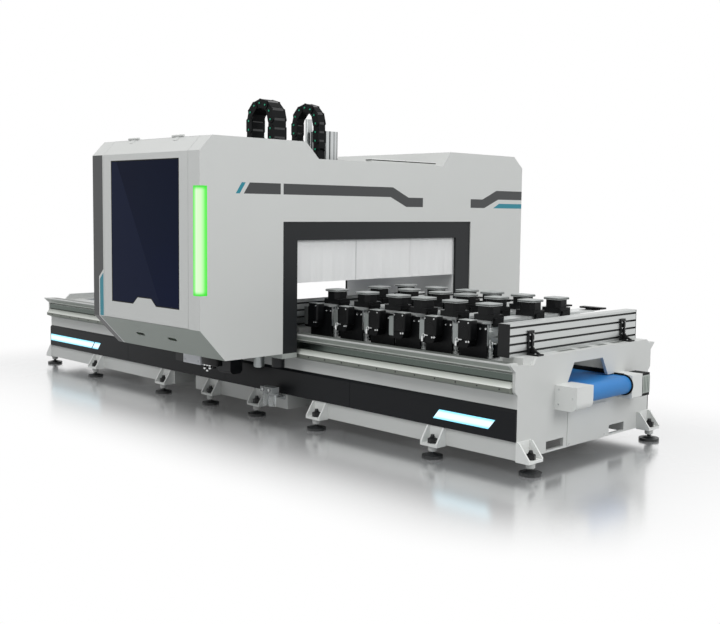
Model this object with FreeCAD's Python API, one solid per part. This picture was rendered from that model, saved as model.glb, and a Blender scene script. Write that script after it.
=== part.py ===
import FreeCAD, Part
import math
import os

os.makedirs("parts", exist_ok=True)

# Gantry machining centre with pod-and-rail table, in millimetres, +Z up.
# X runs along the bed with x = 0 at the conveyor end, and y = 0 is the bed's middle plane.
# When a piece is saved it moves so that the origin is below the middle of the whole machine.

# Bed
BED_LENGTH = 6660.0
BED_BOTTOM = 100.0
TABLE_TOP = 755.0
SIDE_Y = 888.0
LIP_Y = 973.0
LIP_TOP = 785.0
LIP_ROOT = 728.0
LIP_EDGE = 8.0
LIP_INNER_Y = 862.0
RAIL_SEAT_Y = 888.0
RAIL_LOW = 662.0
LEDGE_Y = 955.0
LEDGE_TOP = 616.0
LEDGE_LOW = 588.0
LEDGE_ROOT = 560.0
LEDGE_SLOPE = 34.0
BED_WALL = 12.0
TABLE_PLATE = 30.0
TROUGH_Y = 540.0
TROUGH_FLOOR = 300.0
NOTCH_PLACES = (-3988.0, -2278.0)
NOTCH_LENGTH = 352.0
NOTCH_TOP = 250.0
SPINE_Y = 60.0
STRIP_WIDTH = 110.0
RIGHT_STRIP_COUNT = 3
LEFT_STRIP_COUNT = 5
END_PLATE = 25.0
PLATEAU_TOP = 814.0
PLATEAU_DEPTH = 230.0
PLATEAU_FRONT_Y = 800.0
PLATEAU_REAR_Y = 852.0
PLATEAU_SLOPE = 40.0
POCKET_Y = 655.0
POCKET_SLOPE = 60.0
POCKET_FLOOR = 757.0
RAISED_BAR_MARGIN = 10.0
RAISED_BAR_TOE = 110.0
MOUTH_TOP = 728.0
MOUTH_TOP_Y = 195.0
MOUTH_KNEE = 588.0
MOUTH_KNEE_Y = 275.0
MOUTH_CLEAR = 18.0
FORK_Y = 422.0
FORK_WIDTH = 220.0
FORK_LOW = 115.0
FORK_HIGH = 182.0
HATCH_Y = 267.0
HATCH_LOW = 103.0
HATCH_HIGH = 383.0
HATCH_THICK = 4.0

# Rails along the bed sides and the table
RAIL_HEIGHT = 56.0
RAIL_DEPTH = 30.0
RAIL_WAIST = 9.0
TABLE_RAIL_PLACES = (-560.0, 0.0, 560.0)
TABLE_RAIL_WIDTH = 30.0
TABLE_RAIL_HEIGHT = 26.0
TABLE_RAIL_GAP = 12.0
TABLE_RAIL_FLANGE = 8.0

# Side covers and light bars
COVER_LOW = 233.0
COVER_TOP = 463.0
COVER_STAND = 14.0
COVER_CHAMFER = 22.0
COVER_COUNT = 4
COVER_GAP = 3.0
LIGHT_THICK = 5.0
LIGHT_HEIGHT = 72.0
LIGHT_LOW = 292.0
LIGHT_SLANT = 60.0
LEFT_LIGHT_LENGTH = 960.0
LEFT_LIGHT_TAIL = 110.0
LEFT_LIGHT_MARGIN = 24.0
RIGHT_LIGHT_LENGTH = 520.0
RIGHT_LIGHT_MARGIN = 180.0
LIGHT_GAP = 22.0

# Levelling feet
SIDE_FOOT_PLACES = (-5587.0, -4283.0, -3501.0, -2811.0, -2019.0, -730.0)
SIDE_FOOT_Y = 942.0
END_FOOT_REACH = 70.0
END_FOOT_Y = 812.0
FOOT_PAD_RADIUS = 81.0
FOOT_PAD_HEIGHT = 22.0
FOOT_DOME_HEIGHT = 12.0
FOOT_DOME_RADIUS = 34.0
FOOT_DOME_BASE = 60.0
FOOT_STEM_RADIUS = 15.0
FOOT_NUT_RADIUS = 30.0
FOOT_NUT_HEIGHT = 20.0
FOOT_STEM_TOP = 176.0
FOOT_HOLE_GAP = 1.0
FOOT_SIDES = 16
STEM_SIDES = 8
NUT_SIDES = 6
BRACKET_BASE_LOW = 92.0
BRACKET_BASE = 18.0
BRACKET_TOP = 230.0
BRACKET_WIDTH = 168.0
BRACKET_CHEEK = 14.0
BRACKET_PLATE = 7.0
BRACKET_NOSE = 46.0
BRACKET_SHOULDER = 26.0

# Conveyor
BELT_HALF = 358.0
BELT_THICK = 5.0
BELT_TOP = 580.0
ROLLER_RADIUS = 66.0
DRIVE_ROLLER_X = 88.0
TAIL_ROLLER_INSET = 180.0
ROLLER_SHAFT_RADIUS = 17.0
ROLLER_GAP = 0.3
DECK_THICK = 24.0
DECK_SIDE = 6.0
DECK_SIDE_GAP = 4.0
DECK_SIDE_HEIGHT = 120.0
DECK_SIDE_REACH = 30.0
DECK_ROLLER_GAP = 14.0
DECK_LEG_COUNT = 5
DECK_LEG_WIDTH = 50.0
DECK_LEG_MARGIN = 420.0
DECK_TIE_LOW = 350.0
DECK_TIE_HEIGHT = 30.0
ROLLER_INSET = 2.0
DRIVE_SHAFT_FRONT_Y = 400.0
DRIVE_SHAFT_REAR_Y = 500.0
TAIL_SHAFT_REACH = 20.0
HOOD_OUTER_Y = 440.0
HOOD_INNER_Y = 228.0
HOOD_REACH = 192.0
HOOD_TOP = 588.0
HOOD_LOW = 408.0
HOOD_SKIN = 5.0
HOOD_ROUND = 60.0
BLOCK_ROUND = 12.0
BLOCK_OUTER_Y = 520.0
BLOCK_REACH = 160.0
BLOCK_TOP = 588.0
BLOCK_LOW = 406.0
MOTOR_OUTER_Y = 648.0
MOTOR_TOP = 584.0
MOTOR_LOW = 404.0
MOTOR_REACH = 150.0
MOTOR_ROOT = 20.0
MOTOR_RIB_COUNT = 7
MOTOR_RIB = 9.0
MOTOR_RIB_DEPTH = 12.0

# End fences
FENCE_FACES = (-103.0, -2420.0)
FENCE_THICK = 100.0
FENCE_FRONT_Y = 855.0
FENCE_REAR_Y = 841.0
FENCE_HEIGHT = 236.0
FENCE_SLOT_COUNT = 4
FENCE_SLOT_FIRST = 30.0
FENCE_SLOT_PITCH = 60.0
FENCE_SLOT_WIDTH = 14.0
FENCE_SLOT_DEPTH = 22.0
FENCE_SLOT_NECK = 9.0
FENCE_SLOT_TEE = 26.0
FENCE_CORE_WALL = 12.0
FENCE_CAP = 8.0
FENCE_BRACKET_PLACES = (-615.0, 632.0)
FENCE_BRACKET_HEIGHT = 176.0
FENCE_BRACKET_WIDTH = 70.0
FENCE_BRACKET_TOE = 98.0
FENCE_BRACKET_NECK = 26.0
FENCE_BRACKET_BEND = 52.0
FENCE_BRACKET_HEEL = 24.0
FENCE_BRACKET_PLATE = 12.0
FENCE_BRACKET_WEB = 14.0

# Consoles and pods
CONSOLE_PLACES = (-2166.0, -1798.0, -1440.0, -1164.0, -842.0, -510.0)
CONSOLE_FRONT_Y = 748.0
CONSOLE_REAR_Y = 748.0
BEAM_WIDTH = 150.0
BEAM_TOP = 1030.0
BEAM_LOW = 860.0
BEAM_WALL = 9.0
BEAM_GROOVE = 16.0
BEAM_GROOVE_DEPTH = 10.0
BEAM_GROOVE_PLACES = (908.0, 1004.0)
SHOE_WIDTH = 190.0
SHOE_LENGTH = 120.0
SHOE_LIFT = 2.0
SLIDE_GAP = 0.3
END_COVER_WIDTH = 262.0
END_COVER_TOP = 1018.0
END_COVER_LOW = 764.0
END_COVER_THICK = 14.0
HEAD_WIDTH = 150.0
HEAD_DEPTH = 86.0
HEAD_HEIGHT = 170.0
HEAD_TOP = 1012.0
HEAD_ROUND = 34.0
HEAD_OFFSET = -46.0
TOP_BAR_WIDTH = 214.0
TOP_BAR_LENGTH = 70.0
TOP_BAR_OFFSET = 79.0
TOP_BAR_THICK = 14.0
TOP_BAR_NECK = 100.0
TOP_BAR_RISE = 12.0
STOP_OFFSET = 102.0
STOP_Y = -688.0
STOP_SIDES = 12
STOP_BODY_RADIUS = 22.0
STOP_BODY_TOP = 985.0
STOP_BODY_LOW = 800.0
STOP_ROD_RADIUS = 10.0
STOP_ROD_TOP = 1018.0
STOP_ROD_DEPTH = 165.0
STOP_BORE_GAP = 0.05
STOP_CLAMP = 6.0
STOP_CLAMP_LOW = 900.0
STOP_CLAMP_HIGH = 960.0
POD_ROWS = (-578.0, -58.0, 297.0)
POD_TOP = 1155.0
POD_PLATE = 156.0
POD_PLATE_THICK = 18.0
POD_PLATE_CORNER = 14.0
POD_NECK = 144.0
POD_NECK_CORNER = 32.0
POD_NECK_LOW = 1074.0
POD_BASE = 138.0
POD_BASE_WIDTH = 176.0
POD_JAW_LOW = 986.0
POD_JAW_HIGH = 1050.0
POD_JAW_THICK = 24.0
POD_JAW_LENGTH = 104.0

# Gantry
GANTRY_FACE = -2213.0
GANTRY_LENGTH = 1574.0
SKIN = 5.0
TRIM_RECESS = 10.0
CABIN_FRONT_Y = 1986.0
CABIN_LOW_Y = 1744.0
CABIN_LOW = 635.0
CABIN_BEND = 892.0
CABIN_SHOULDER = 2278.0
CABIN_TOP_Y = 1869.0
HOUSING_TOP = 2400.0
LEG_OUTER_Y = 1150.0
LEG_INNER_Y = 986.0
REAR_LEG_INNER_Y = 1065.0
REAR_LEG_OUTER_Y = 1274.0
REAR_FACE_Y = 2104.0
REAR_SHOULDER = 2285.0
REAR_TOP_Y = 1962.0
LEG_LOW = 592.0
LEG_WALL = 16.0
OPENING_TOP = 1577.0
TRIM_TOP = 1733.0
PORTAL_TOP = 1760.0
PORTAL_BAR = 26.0
PORTAL_FLANGE = 60.0
DIP_TOP = 2262.0
DIP_FRONT_Y = -760.0
DIP_FRONT_SLOPE = 148.0
DIP_REAR_Y = 842.0
DIP_REAR_SLOPE = 104.0
ROOF_SKIN = 7.0
CABLE_GATE = 490.0
TOP_SLOT_MARGIN = 36.0
SHOE_BLOCK_LENGTH = 190.0
SHOE_BLOCK_HEIGHT = 50.0
SHOE_BLOCK_MARGIN = 120.0

# Door, glass, lamp, hand holds
DOOR_LEFT_MARGIN = 177.0
DOOR_RIGHT_MARGIN = 151.0
DOOR_GAP = 3.0
DOOR_THICK = 28.0
DOOR_RETURN = 3.0
GLASS_MARGIN_X = 122.0
GLASS_LOW = 1034.0
GLASS_HIGH = 2226.0
GLASS_THICK = 8.0
GLASS_SINK = 1.0
GLASS_TAB_WIDTH = 340.0
GLASS_TAB_TOP_WIDTH = 200.0
GLASS_TAB_HEIGHT = 58.0
HINGE_RADIUS = 9.0
HINGE_LENGTH = 160.0
HINGE_RISE = 1.0
HINGE_LEAF = 40.0
HINGE_PLATE = 4.0
JAMB_DEPTH = 60.0
HINGE_MARGIN = 220.0
HINGE_PIN_RADIUS = 5.0
LAMP_LOW = 1160.0
LAMP_HIGH = 2010.0
LAMP_WIDTH = 85.0
LAMP_DEPTH = 70.0
LAMP_ROUND = 42.0
LAMP_WALL = 26.0
HOLD_WIDTH = 120.0
HOLD_HEIGHT = 34.0
HOLD_SETBACKS = (1022.0, 552.0)

# Curtains
CURTAIN_LOW = 1215.0
CURTAIN_THICK = 4.0
CURTAIN_TOP = 1700.0
CURTAIN_SEAMS = (-270.0, 440.0)
CURTAIN_GAP = 6.0

# Cross beam, carriage, ram and spindle
CROSS_SETBACK = 737.0
CROSS_DEPTH = 300.0
CROSS_HIGH = 2162.0
CROSS_WALL = 20.0
CROSS_RAIL_PLACES = (1822.0, 2102.0)
CROSS_RAIL = 34.0
CROSS_RAIL_DEPTH = 26.0
CARRIAGE_THICK = 36.0
TRAVEL_FRONT = 620.0
TRAVEL_REAR = 980.0
TRAY_THICK = 16.0
TRAY_MARGIN = 10.0
TRAY_RIB = 80.0
CARRIAGE_LENGTH = 340.0
CARRIAGE_LOW = 1770.0
CARRIAGE_HIGH = 2170.0
BLOCK_WIDTH = 96.0
BLOCK_CAP = 10.0
RAM_SETBACK = 387.0
RAM_WIDTH = 142.0
RAM_DEPTH = 214.0
RAM_LOW = 1700.0
RAM_HIGH = 2540.0
RAM_WALL = 16.0
RAM_Y = -255.0
RAM_RAIL = 24.0
RAM_RAIL_DEPTH = 20.0
RAM_RAIL_PITCH = 84.0
RAM_BLOCK_PLACES = (1825.0, 2115.0)
RAM_BLOCK_HEIGHT = 90.0
RAM_BLOCK_WIDTH = 60.0
SPINDLE_RADIUS = 82.0
SPINDLE_LOW = 1566.0
SPINDLE_NOSE = 58.0
SPINDLE_NOSE_HEIGHT = 22.0
SPINDLE_BORE = 30.0
SPINDLE_BORE_DEPTH = 96.0
RUNNING_GAP = 0.05
HOLDER_RADIUS = 31.5
HOLDER_FLANGE = 26.0
CHUCK_RADIUS = 25.0
CHUCK_LENGTH = 34.0
CUTTER_RADIUS = 10.0
TOOL_TIP = 1478.0
FACE_GAP = 2.0

# Energy chains
CHAIN_LEFT_SETBACK = 652.0
CHAIN_RIGHT_SETBACK = 287.0
CHAIN_HEIGHT = 74.0
CHAIN_TOP = 2775.0
CHAIN_BANDS = ((-1025.0, -875.0), (-511.0, -421.0))
CHAIN_PLATE = 7.0
CHAIN_PLATE_GAP = 0.5
CHAIN_ARC_LINKS = 6
CHAIN_LEG_LINKS = 3
CHAIN_PIN_SIDES = 8
CHAIN_BAR = 6.0
CHAIN_PIN_RADIUS = 9.0
CHAIN_FOOT = 26.0
CHAIN_PIN_HEAD = 2.0
CHAIN_NOSE = 28.0
CHAIN_FLAT = 12.0
CHAIN_BAR_LENGTH = 58.0

# Drive unit and hoses under the cabin, and the air unit
DRIVE_SETBACK = 817.0
DRIVE_Y = 1075.0
DRIVE_BOX = 190.0
DRIVE_LOW = 372.0
DRIVE_MOTOR_RADIUS = 55.0
DRIVE_MOTOR_SETBACK = 147.0
DRIVE_MOTOR_LOW = 505.0
DRIVE_CABINET_SETBACK = 1087.0
DRIVE_CABINET_LENGTH = 270.0
DRIVE_CABINET_LOW = 470.0
DRIVE_CABINET_Y = 1300.0
DRIVE_CABINET_DEPTH = 150.0
DRIVE_REACH = 66.0
DRIVE_BEVEL = 24.0
AIR_X = -2560.0
AIR_TOP = 300.0
AIR_HEAD_HEIGHT = 46.0
AIR_HEAD_WIDTH = 74.0
AIR_PITCH = 82.0
AIR_BOWL_RADIUS = 30.0
AIR_BOWL_LENGTH = 120.0
AIR_BRACKET = 6.0
AIR_OUT = 75.0
AIR_SHELF = 213.0

EPS = 0.02
OVER = 5.0

CENTRE_X = (HOOD_REACH - BED_LENGTH - END_FOOT_REACH - FOOT_PAD_RADIUS) / 2
CENTRE_Y = (REAR_FACE_Y - CABIN_FRONT_Y) / 2
LAST_X = GANTRY_FACE - GANTRY_LENGTH
ROLLER_Z = BELT_TOP - BELT_THICK - ROLLER_GAP - ROLLER_RADIUS
DECK_OUTER_Y = BELT_HALF + DECK_SIDE_GAP + DECK_SIDE
HINGE_Z = HOUSING_TOP + HINGE_RADIUS + HINGE_RISE
TAIL_ROLLER_X = TAIL_ROLLER_INSET - BED_LENGTH
DOOR_LEFT = LAST_X + DOOR_LEFT_MARGIN
DOOR_RIGHT = GANTRY_FACE - DOOR_RIGHT_MARGIN
CROSS_FRONT = GANTRY_FACE - CROSS_SETBACK
RAM_FRONT = GANTRY_FACE - RAM_SETBACK
SPINDLE_X = RAM_FRONT - RAM_DEPTH / 2
CHAIN_LEFT_X = GANTRY_FACE - CHAIN_LEFT_SETBACK
CHAIN_RIGHT_X = GANTRY_FACE - CHAIN_RIGHT_SETBACK
DRIVE_X = GANTRY_FACE - DRIVE_SETBACK
DRIVE_MOTOR_X = GANTRY_FACE - DRIVE_MOTOR_SETBACK
DRIVE_CABINET_X = GANTRY_FACE - DRIVE_CABINET_SETBACK


def box(x0, x1, y0, y1, z0, z1):
    """A block between two corners, given in any order."""
    low = FreeCAD.Vector(min(x0, x1), min(y0, y1), min(z0, z1))
    return Part.makeBox(abs(x1 - x0), abs(y1 - y0), abs(z1 - z0), low)


def rod(base, axis, radius, length):
    """A round bar from a base point along an axis."""
    return Part.makeCylinder(radius, length, FreeCAD.Vector(*base), FreeCAD.Vector(*axis))


def prism(points, direction):
    """A closed outline of 3-D points pushed along a direction."""
    corners = [FreeCAD.Vector(*p) for p in points]
    face = Part.Face(Part.makePolygon(corners + corners[:1]))
    return face.extrude(FreeCAD.Vector(*direction))


def prism_x(points, x0, x1):
    """A (y, z) outline pushed from x0 to x1."""
    return prism([(x0, y, z) for y, z in points], (x1 - x0, 0, 0))


def prism_y(points, y0, y1):
    """An (x, z) outline pushed from y0 to y1."""
    return prism([(x, y0, z) for x, z in points], (0, y1 - y0, 0))


def prism_z(points, z0, z1):
    """An (x, y) outline pushed from z0 to z1."""
    return prism([(x, y, z0) for x, y in points], (0, 0, z1 - z0))


def joined(solids):
    """One solid made of several that touch."""
    whole = solids[0].fuse(list(solids[1:]))
    return whole.removeSplitter()


def shifted(shape, dx, dy, dz):
    """A copy moved by a step."""
    copy = shape.copy()
    copy.translate(FreeCAD.Vector(dx, dy, dz))
    return copy


def ring(sides, radius, x, y):
    """The corners of an even-sided outline round an axis, as (x, y)."""
    turn = 2 * math.pi / sides
    return [(x + radius * math.cos((number + 1 / 2) * turn), y + radius * math.sin((number + 1 / 2) * turn))
            for number in range(sides)]


def save(name, solids):
    """Write one node, moved to the machine's own origin."""
    flat = []
    for shape in solids:
        flat.extend(shape.Solids)
    group = Part.makeCompound(flat) if len(flat) > 1 else flat[0]
    placed = group.copy()
    placed.translate(FreeCAD.Vector(-CENTRE_X, -CENTRE_Y, 0))
    placed.exportStep("parts/" + name + ".step")


# Bed

def side_profile(sign):
    """The stepped outline of one bed side, from the bottom up to the lip."""
    return [
        (sign * SIDE_Y, BED_BOTTOM),
        (sign * SIDE_Y, LEDGE_ROOT),
        (sign * LEDGE_Y, LEDGE_LOW),
        (sign * LEDGE_Y, LEDGE_TOP),
        (sign * (LEDGE_Y - LEDGE_SLOPE), RAIL_LOW - OVER),
        (sign * RAIL_SEAT_Y, RAIL_LOW - OVER),
        (sign * RAIL_SEAT_Y, LIP_ROOT),
        (sign * (RAIL_SEAT_Y + RAIL_DEPTH), LIP_ROOT),
        (sign * LIP_Y, LIP_TOP - LIP_EDGE),
        (sign * LIP_Y, LIP_TOP),
        (sign * LIP_INNER_Y, LIP_TOP),
        (sign * LIP_INNER_Y, TABLE_TOP),
    ]


def side_beam(sign, left, right):
    """One hollow side of the bed, open below, with two notches through its foot."""
    profile = side_profile(sign)
    outline = [(sign * TROUGH_Y, BED_BOTTOM)] + profile + [(sign * TROUGH_Y, TABLE_TOP)]
    beam = prism_x(outline, left, right)
    cuts = []
    edges = [left]
    for place in NOTCH_PLACES:
        edges += [place - NOTCH_LENGTH / 2, place + NOTCH_LENGTH / 2]
        cuts.append(box(place - NOTCH_LENGTH / 2, place + NOTCH_LENGTH / 2, sign * (TROUGH_Y - OVER),
                        sign * (SIDE_Y + OVER), BED_BOTTOM - OVER, NOTCH_TOP))
    edges.append(right)
    for start, stop in zip(edges[::2], edges[1::2]):
        cuts.append(box(start + BED_WALL, stop - BED_WALL,
                        sign * (TROUGH_Y + BED_WALL), sign * (SIDE_Y - BED_WALL),
                        BED_BOTTOM - OVER, TABLE_TOP - TABLE_PLATE))
    return beam.cut(cuts)


def table_strips(start, stop, count):
    """Plates from the spine to both side beams, evenly spaced between two places."""
    strips = []
    step = (stop - start - STRIP_WIDTH) / (count - 1)
    for number in range(count):
        x0 = start + number * step
        for sign in (-1, 1):
            strips.append(box(x0, x0 + STRIP_WIDTH, sign * SPINE_Y, sign * TROUGH_Y,
                              TABLE_TOP - TABLE_PLATE, TABLE_TOP))
    return strips


def bed_frame():
    """Hollow side beams, the chip trough's floor, the table's spine and strips, and the raised bars."""
    left = -BED_LENGTH + END_PLATE
    right = -END_PLATE
    solids = [side_beam(-1, left, right), side_beam(1, left, right)]
    solids.append(box(left, right, -TROUGH_Y, TROUGH_Y, TROUGH_FLOOR - BED_WALL, TROUGH_FLOOR))
    solids.append(box(left, right, -SPINE_Y, SPINE_Y, TABLE_TOP - TABLE_PLATE, TABLE_TOP))
    inner = FENCE_FACES[1] - FENCE_THICK - RAISED_BAR_TOE
    outer = FENCE_FACES[1] + RAISED_BAR_MARGIN
    solids += table_strips(inner, right, RIGHT_STRIP_COUNT)
    solids += table_strips(left, inner, LEFT_STRIP_COUNT)
    solids.append(box(right, -PLATEAU_DEPTH, -PLATEAU_FRONT_Y, PLATEAU_REAR_Y, TABLE_TOP, PLATEAU_TOP))
    solids.append(box(inner, outer, -PLATEAU_FRONT_Y, PLATEAU_REAR_Y, TABLE_TOP, PLATEAU_TOP))
    return solids


def mouth_cut(x0, x1):
    """The opening that the conveyor runs out of: a trapezoid over a wide slot."""
    half = BELT_HALF + MOUTH_CLEAR
    low = BELT_TOP - 2 * ROLLER_RADIUS - 2 * BELT_THICK - MOUTH_CLEAR
    outline = [(-half, low), (half, low), (half, MOUTH_KNEE), (MOUTH_KNEE_Y, MOUTH_KNEE),
               (MOUTH_TOP_Y, MOUTH_TOP), (-MOUTH_TOP_Y, MOUTH_TOP), (-MOUTH_KNEE_Y, MOUTH_KNEE),
               (-half, MOUTH_KNEE)]
    return prism_x(outline, x0, x1)


def plate_edge(sign):
    """The edge of an end wall, which closes the rail recess, from the fork pockets up to the lip."""
    recess_y = RAIL_SEAT_Y + RAIL_DEPTH
    return [(sign * SIDE_Y, FORK_HIGH), (sign * SIDE_Y, LEDGE_ROOT), (sign * recess_y, LEDGE_LOW),
            (sign * recess_y, LIP_ROOT), (sign * LIP_Y, LIP_TOP - LIP_EDGE), (sign * LIP_Y, LIP_TOP)]


def end_wall(x0):
    """One end wall: a plate with the conveyor mouth and a stepped corner, on a bar and blocks between fork pockets."""
    x1 = x0 + END_PLATE
    outline = plate_edge(-1) + [
        (-POCKET_Y - POCKET_SLOPE, POCKET_FLOOR),
        (-POCKET_Y, PLATEAU_TOP),
        (PLATEAU_REAR_Y, PLATEAU_TOP),
        (PLATEAU_REAR_Y + PLATEAU_SLOPE, LIP_TOP),
    ] + plate_edge(1)[::-1]
    plate = prism_x(outline, x0, x1)
    pieces = [plate.cut(mouth_cut(x0 - OVER, x1 + OVER))]
    pieces.append(box(x0, x1, -SIDE_Y, SIDE_Y, BED_BOTTOM, FORK_LOW))
    inner = FORK_Y - FORK_WIDTH / 2
    outer = FORK_Y + FORK_WIDTH / 2
    for y0, y1 in ((-SIDE_Y, -outer), (-inner, inner), (outer, SIDE_Y)):
        pieces.append(box(x0, x1, y0, y1, FORK_LOW, FORK_HIGH))
    return pieces


def end_plates():
    """Both end walls and a hatch plate on each."""
    hatch_right = box(0, HATCH_THICK, -HATCH_Y, HATCH_Y, HATCH_LOW, HATCH_HIGH)
    hatch_left = box(-BED_LENGTH - HATCH_THICK, -BED_LENGTH, -HATCH_Y, HATCH_Y, HATCH_LOW, HATCH_HIGH)
    return end_wall(-END_PLATE) + end_wall(-BED_LENGTH) + [hatch_right, hatch_left]


def side_rail(sign):
    """A profiled rail with a waist, lying in the recess of one bed side."""
    y0 = RAIL_SEAT_Y
    y1 = RAIL_SEAT_Y + RAIL_DEPTH
    low = RAIL_LOW
    high = RAIL_LOW + RAIL_HEIGHT
    middle = (y0 + y1) / 2
    waist = RAIL_WAIST
    outline = [(y0, low), (middle - waist / 2, low), (middle, low + waist), (middle + waist, low),
               (y1, low + waist / 2), (y1, high - waist / 2), (middle + waist, high),
               (middle, high - waist), (middle - waist / 2, high), (y0, high)]
    rail = prism_x([(sign * y, z) for y, z in outline], -BED_LENGTH + END_PLATE, -END_PLATE)
    return rail


def table_rail_outline():
    """Half head and half foot of a console rail, standing on the table, as (y, z) steps."""
    half = TABLE_RAIL_WIDTH / 2
    base = TABLE_TOP
    top = TABLE_TOP + TABLE_RAIL_HEIGHT
    flange = TABLE_RAIL_FLANGE
    return [(-half, base), (half, base), (half, base + flange), (half - flange / 2, base + flange * 3 / 2),
            (half, base + flange * 2), (half, top), (-half, top), (-half, base + flange * 2),
            (-half + flange / 2, base + flange * 3 / 2), (-half, base + flange)]


def guide_rails():
    """Two gantry rails in the bed sides and three console rails on the table."""
    rails = [side_rail(-1), side_rail(1)]
    start = FENCE_FACES[1] + RAISED_BAR_MARGIN + TABLE_RAIL_GAP
    stop = -PLATEAU_DEPTH - TABLE_RAIL_GAP
    for place in TABLE_RAIL_PLACES:
        outline = [(place + y, z) for y, z in table_rail_outline()]
        rails.append(prism_x(outline, start, stop))
    return rails


def side_covers():
    """Dark sheet covers with a bevelled upper edge, in lengths, on both sides."""
    covers = []
    step = BED_LENGTH / COVER_COUNT
    for sign in (-1, 1):
        outline = [(SIDE_Y, COVER_LOW), (SIDE_Y + COVER_STAND, COVER_LOW),
                   (SIDE_Y + COVER_STAND, COVER_TOP - COVER_CHAMFER), (SIDE_Y, COVER_TOP)]
        for number in range(COVER_COUNT):
            x0 = -BED_LENGTH + number * step + COVER_GAP / 2
            cover = prism_x([(sign * y, z) for y, z in outline], x0, x0 + step - COVER_GAP)
            covers.append(cover)
    return covers


def slanted_bar(x0, x1, slant):
    """A flat light bar whose far end leans."""
    y0 = -SIDE_Y - COVER_STAND
    outline = [(x0, LIGHT_LOW), (x1 - slant, LIGHT_LOW), (x1, LIGHT_LOW + LIGHT_HEIGHT),
               (x0, LIGHT_LOW + LIGHT_HEIGHT)]
    return prism_y(outline, y0 - LIGHT_THICK, y0)


def leaning_bar(x0, x1, slant):
    """A short light bar with both ends leaning."""
    y0 = -SIDE_Y - COVER_STAND
    outline = [(x0 - slant, LIGHT_LOW), (x1 - slant, LIGHT_LOW), (x1, LIGHT_LOW + LIGHT_HEIGHT),
               (x0, LIGHT_LOW + LIGHT_HEIGHT)]
    return prism_y(outline, y0 - LIGHT_THICK, y0)


def side_lights():
    """Slanted light bars near both ends of the operator's side."""
    left = -BED_LENGTH + LEFT_LIGHT_MARGIN
    end = left + LEFT_LIGHT_LENGTH
    tail = end + LIGHT_GAP
    bars = [slanted_bar(left, end, LIGHT_SLANT)]
    bars.append(leaning_bar(tail, tail + LEFT_LIGHT_TAIL, LIGHT_SLANT))
    right = -RIGHT_LIGHT_MARGIN
    bars.append(leaning_bar(right - RIGHT_LIGHT_LENGTH, right, LIGHT_SLANT))
    return bars


# Feet

def levelling_foot():
    """Pad, ball stem and nuts of one foot, on the origin's axis."""
    pad = prism_z(ring(FOOT_SIDES, FOOT_PAD_RADIUS, 0, 0), 0, FOOT_PAD_HEIGHT)
    levels = ((FOOT_DOME_BASE, FOOT_PAD_HEIGHT), (FOOT_DOME_RADIUS, FOOT_PAD_HEIGHT + FOOT_DOME_HEIGHT))
    wires = []
    for radius, z in levels:
        corners = [FreeCAD.Vector(x, y, z) for x, y in ring(FOOT_SIDES, radius, 0, 0)]
        wires.append(Part.makePolygon(corners + corners[:1]))
    dome = Part.makeLoft(wires, True, True)
    stem = prism_z(ring(STEM_SIDES, FOOT_STEM_RADIUS, 0, 0), FOOT_PAD_HEIGHT, FOOT_STEM_TOP)
    nut = ring(NUT_SIDES, FOOT_NUT_RADIUS, 0, 0)
    lower_nut = prism_z(nut, BRACKET_BASE_LOW - FOOT_NUT_HEIGHT, BRACKET_BASE_LOW)
    upper = BRACKET_BASE_LOW + BRACKET_BASE
    upper_nut = prism_z(nut, upper, upper + FOOT_NUT_HEIGHT)
    return joined([pad, dome, stem, lower_nut, upper_nut])


def foot_places():
    """Where each foot stands, and how far its bracket is turned."""
    places = []
    for x in SIDE_FOOT_PLACES:
        places.append((x, -SIDE_FOOT_Y, 0))
        places.append((x, SIDE_FOOT_Y, 180))
    for sign in (-1, 1):
        places.append((END_FOOT_REACH, sign * END_FOOT_Y, 90))
        places.append((-BED_LENGTH - END_FOOT_REACH, sign * END_FOOT_Y, -90))
    return places


def turned(shape, angle):
    """A copy turned about the vertical through the origin."""
    copy = shape.copy()
    copy.rotate(FreeCAD.Vector(0, 0, 0), FreeCAD.Vector(0, 0, 1), angle)
    return copy


def bracket(reach):
    """An open foot bracket whose back plate lies against a wall, a reach behind the stem."""
    front = -BRACKET_NOSE
    half = BRACKET_WIDTH / 2
    outline = [(reach, BRACKET_BASE_LOW), (front, BRACKET_BASE_LOW),
               (front, BRACKET_BASE_LOW + BRACKET_SHOULDER),
               (reach - BRACKET_SHOULDER, BRACKET_TOP), (reach, BRACKET_TOP)]
    cheeks = [prism_x(outline, -half, -half + BRACKET_CHEEK), prism_x(outline, half - BRACKET_CHEEK, half)]
    base = box(-half, half, front, reach, BRACKET_BASE_LOW, BRACKET_BASE_LOW + BRACKET_BASE)
    plate = box(-half, half, reach - BRACKET_PLATE, reach, BRACKET_BASE_LOW, BRACKET_TOP)
    body = joined(cheeks + [base, plate])
    return body.cut(prism_z(ring(STEM_SIDES, FOOT_STEM_RADIUS + FOOT_HOLE_GAP, 0, 0), 0, BRACKET_TOP))


def foot_brackets():
    pieces = []
    for x, y, angle in foot_places():
        reach = SIDE_FOOT_Y - SIDE_Y if abs(y) == SIDE_FOOT_Y else END_FOOT_REACH
        pieces.append(shifted(turned(bracket(reach), angle), x, y, 0))
    return pieces


def levelling_feet():
    foot = levelling_foot()
    return [shifted(foot, x, y, 0) for x, y, angle in foot_places()]

# Conveyor

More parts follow.
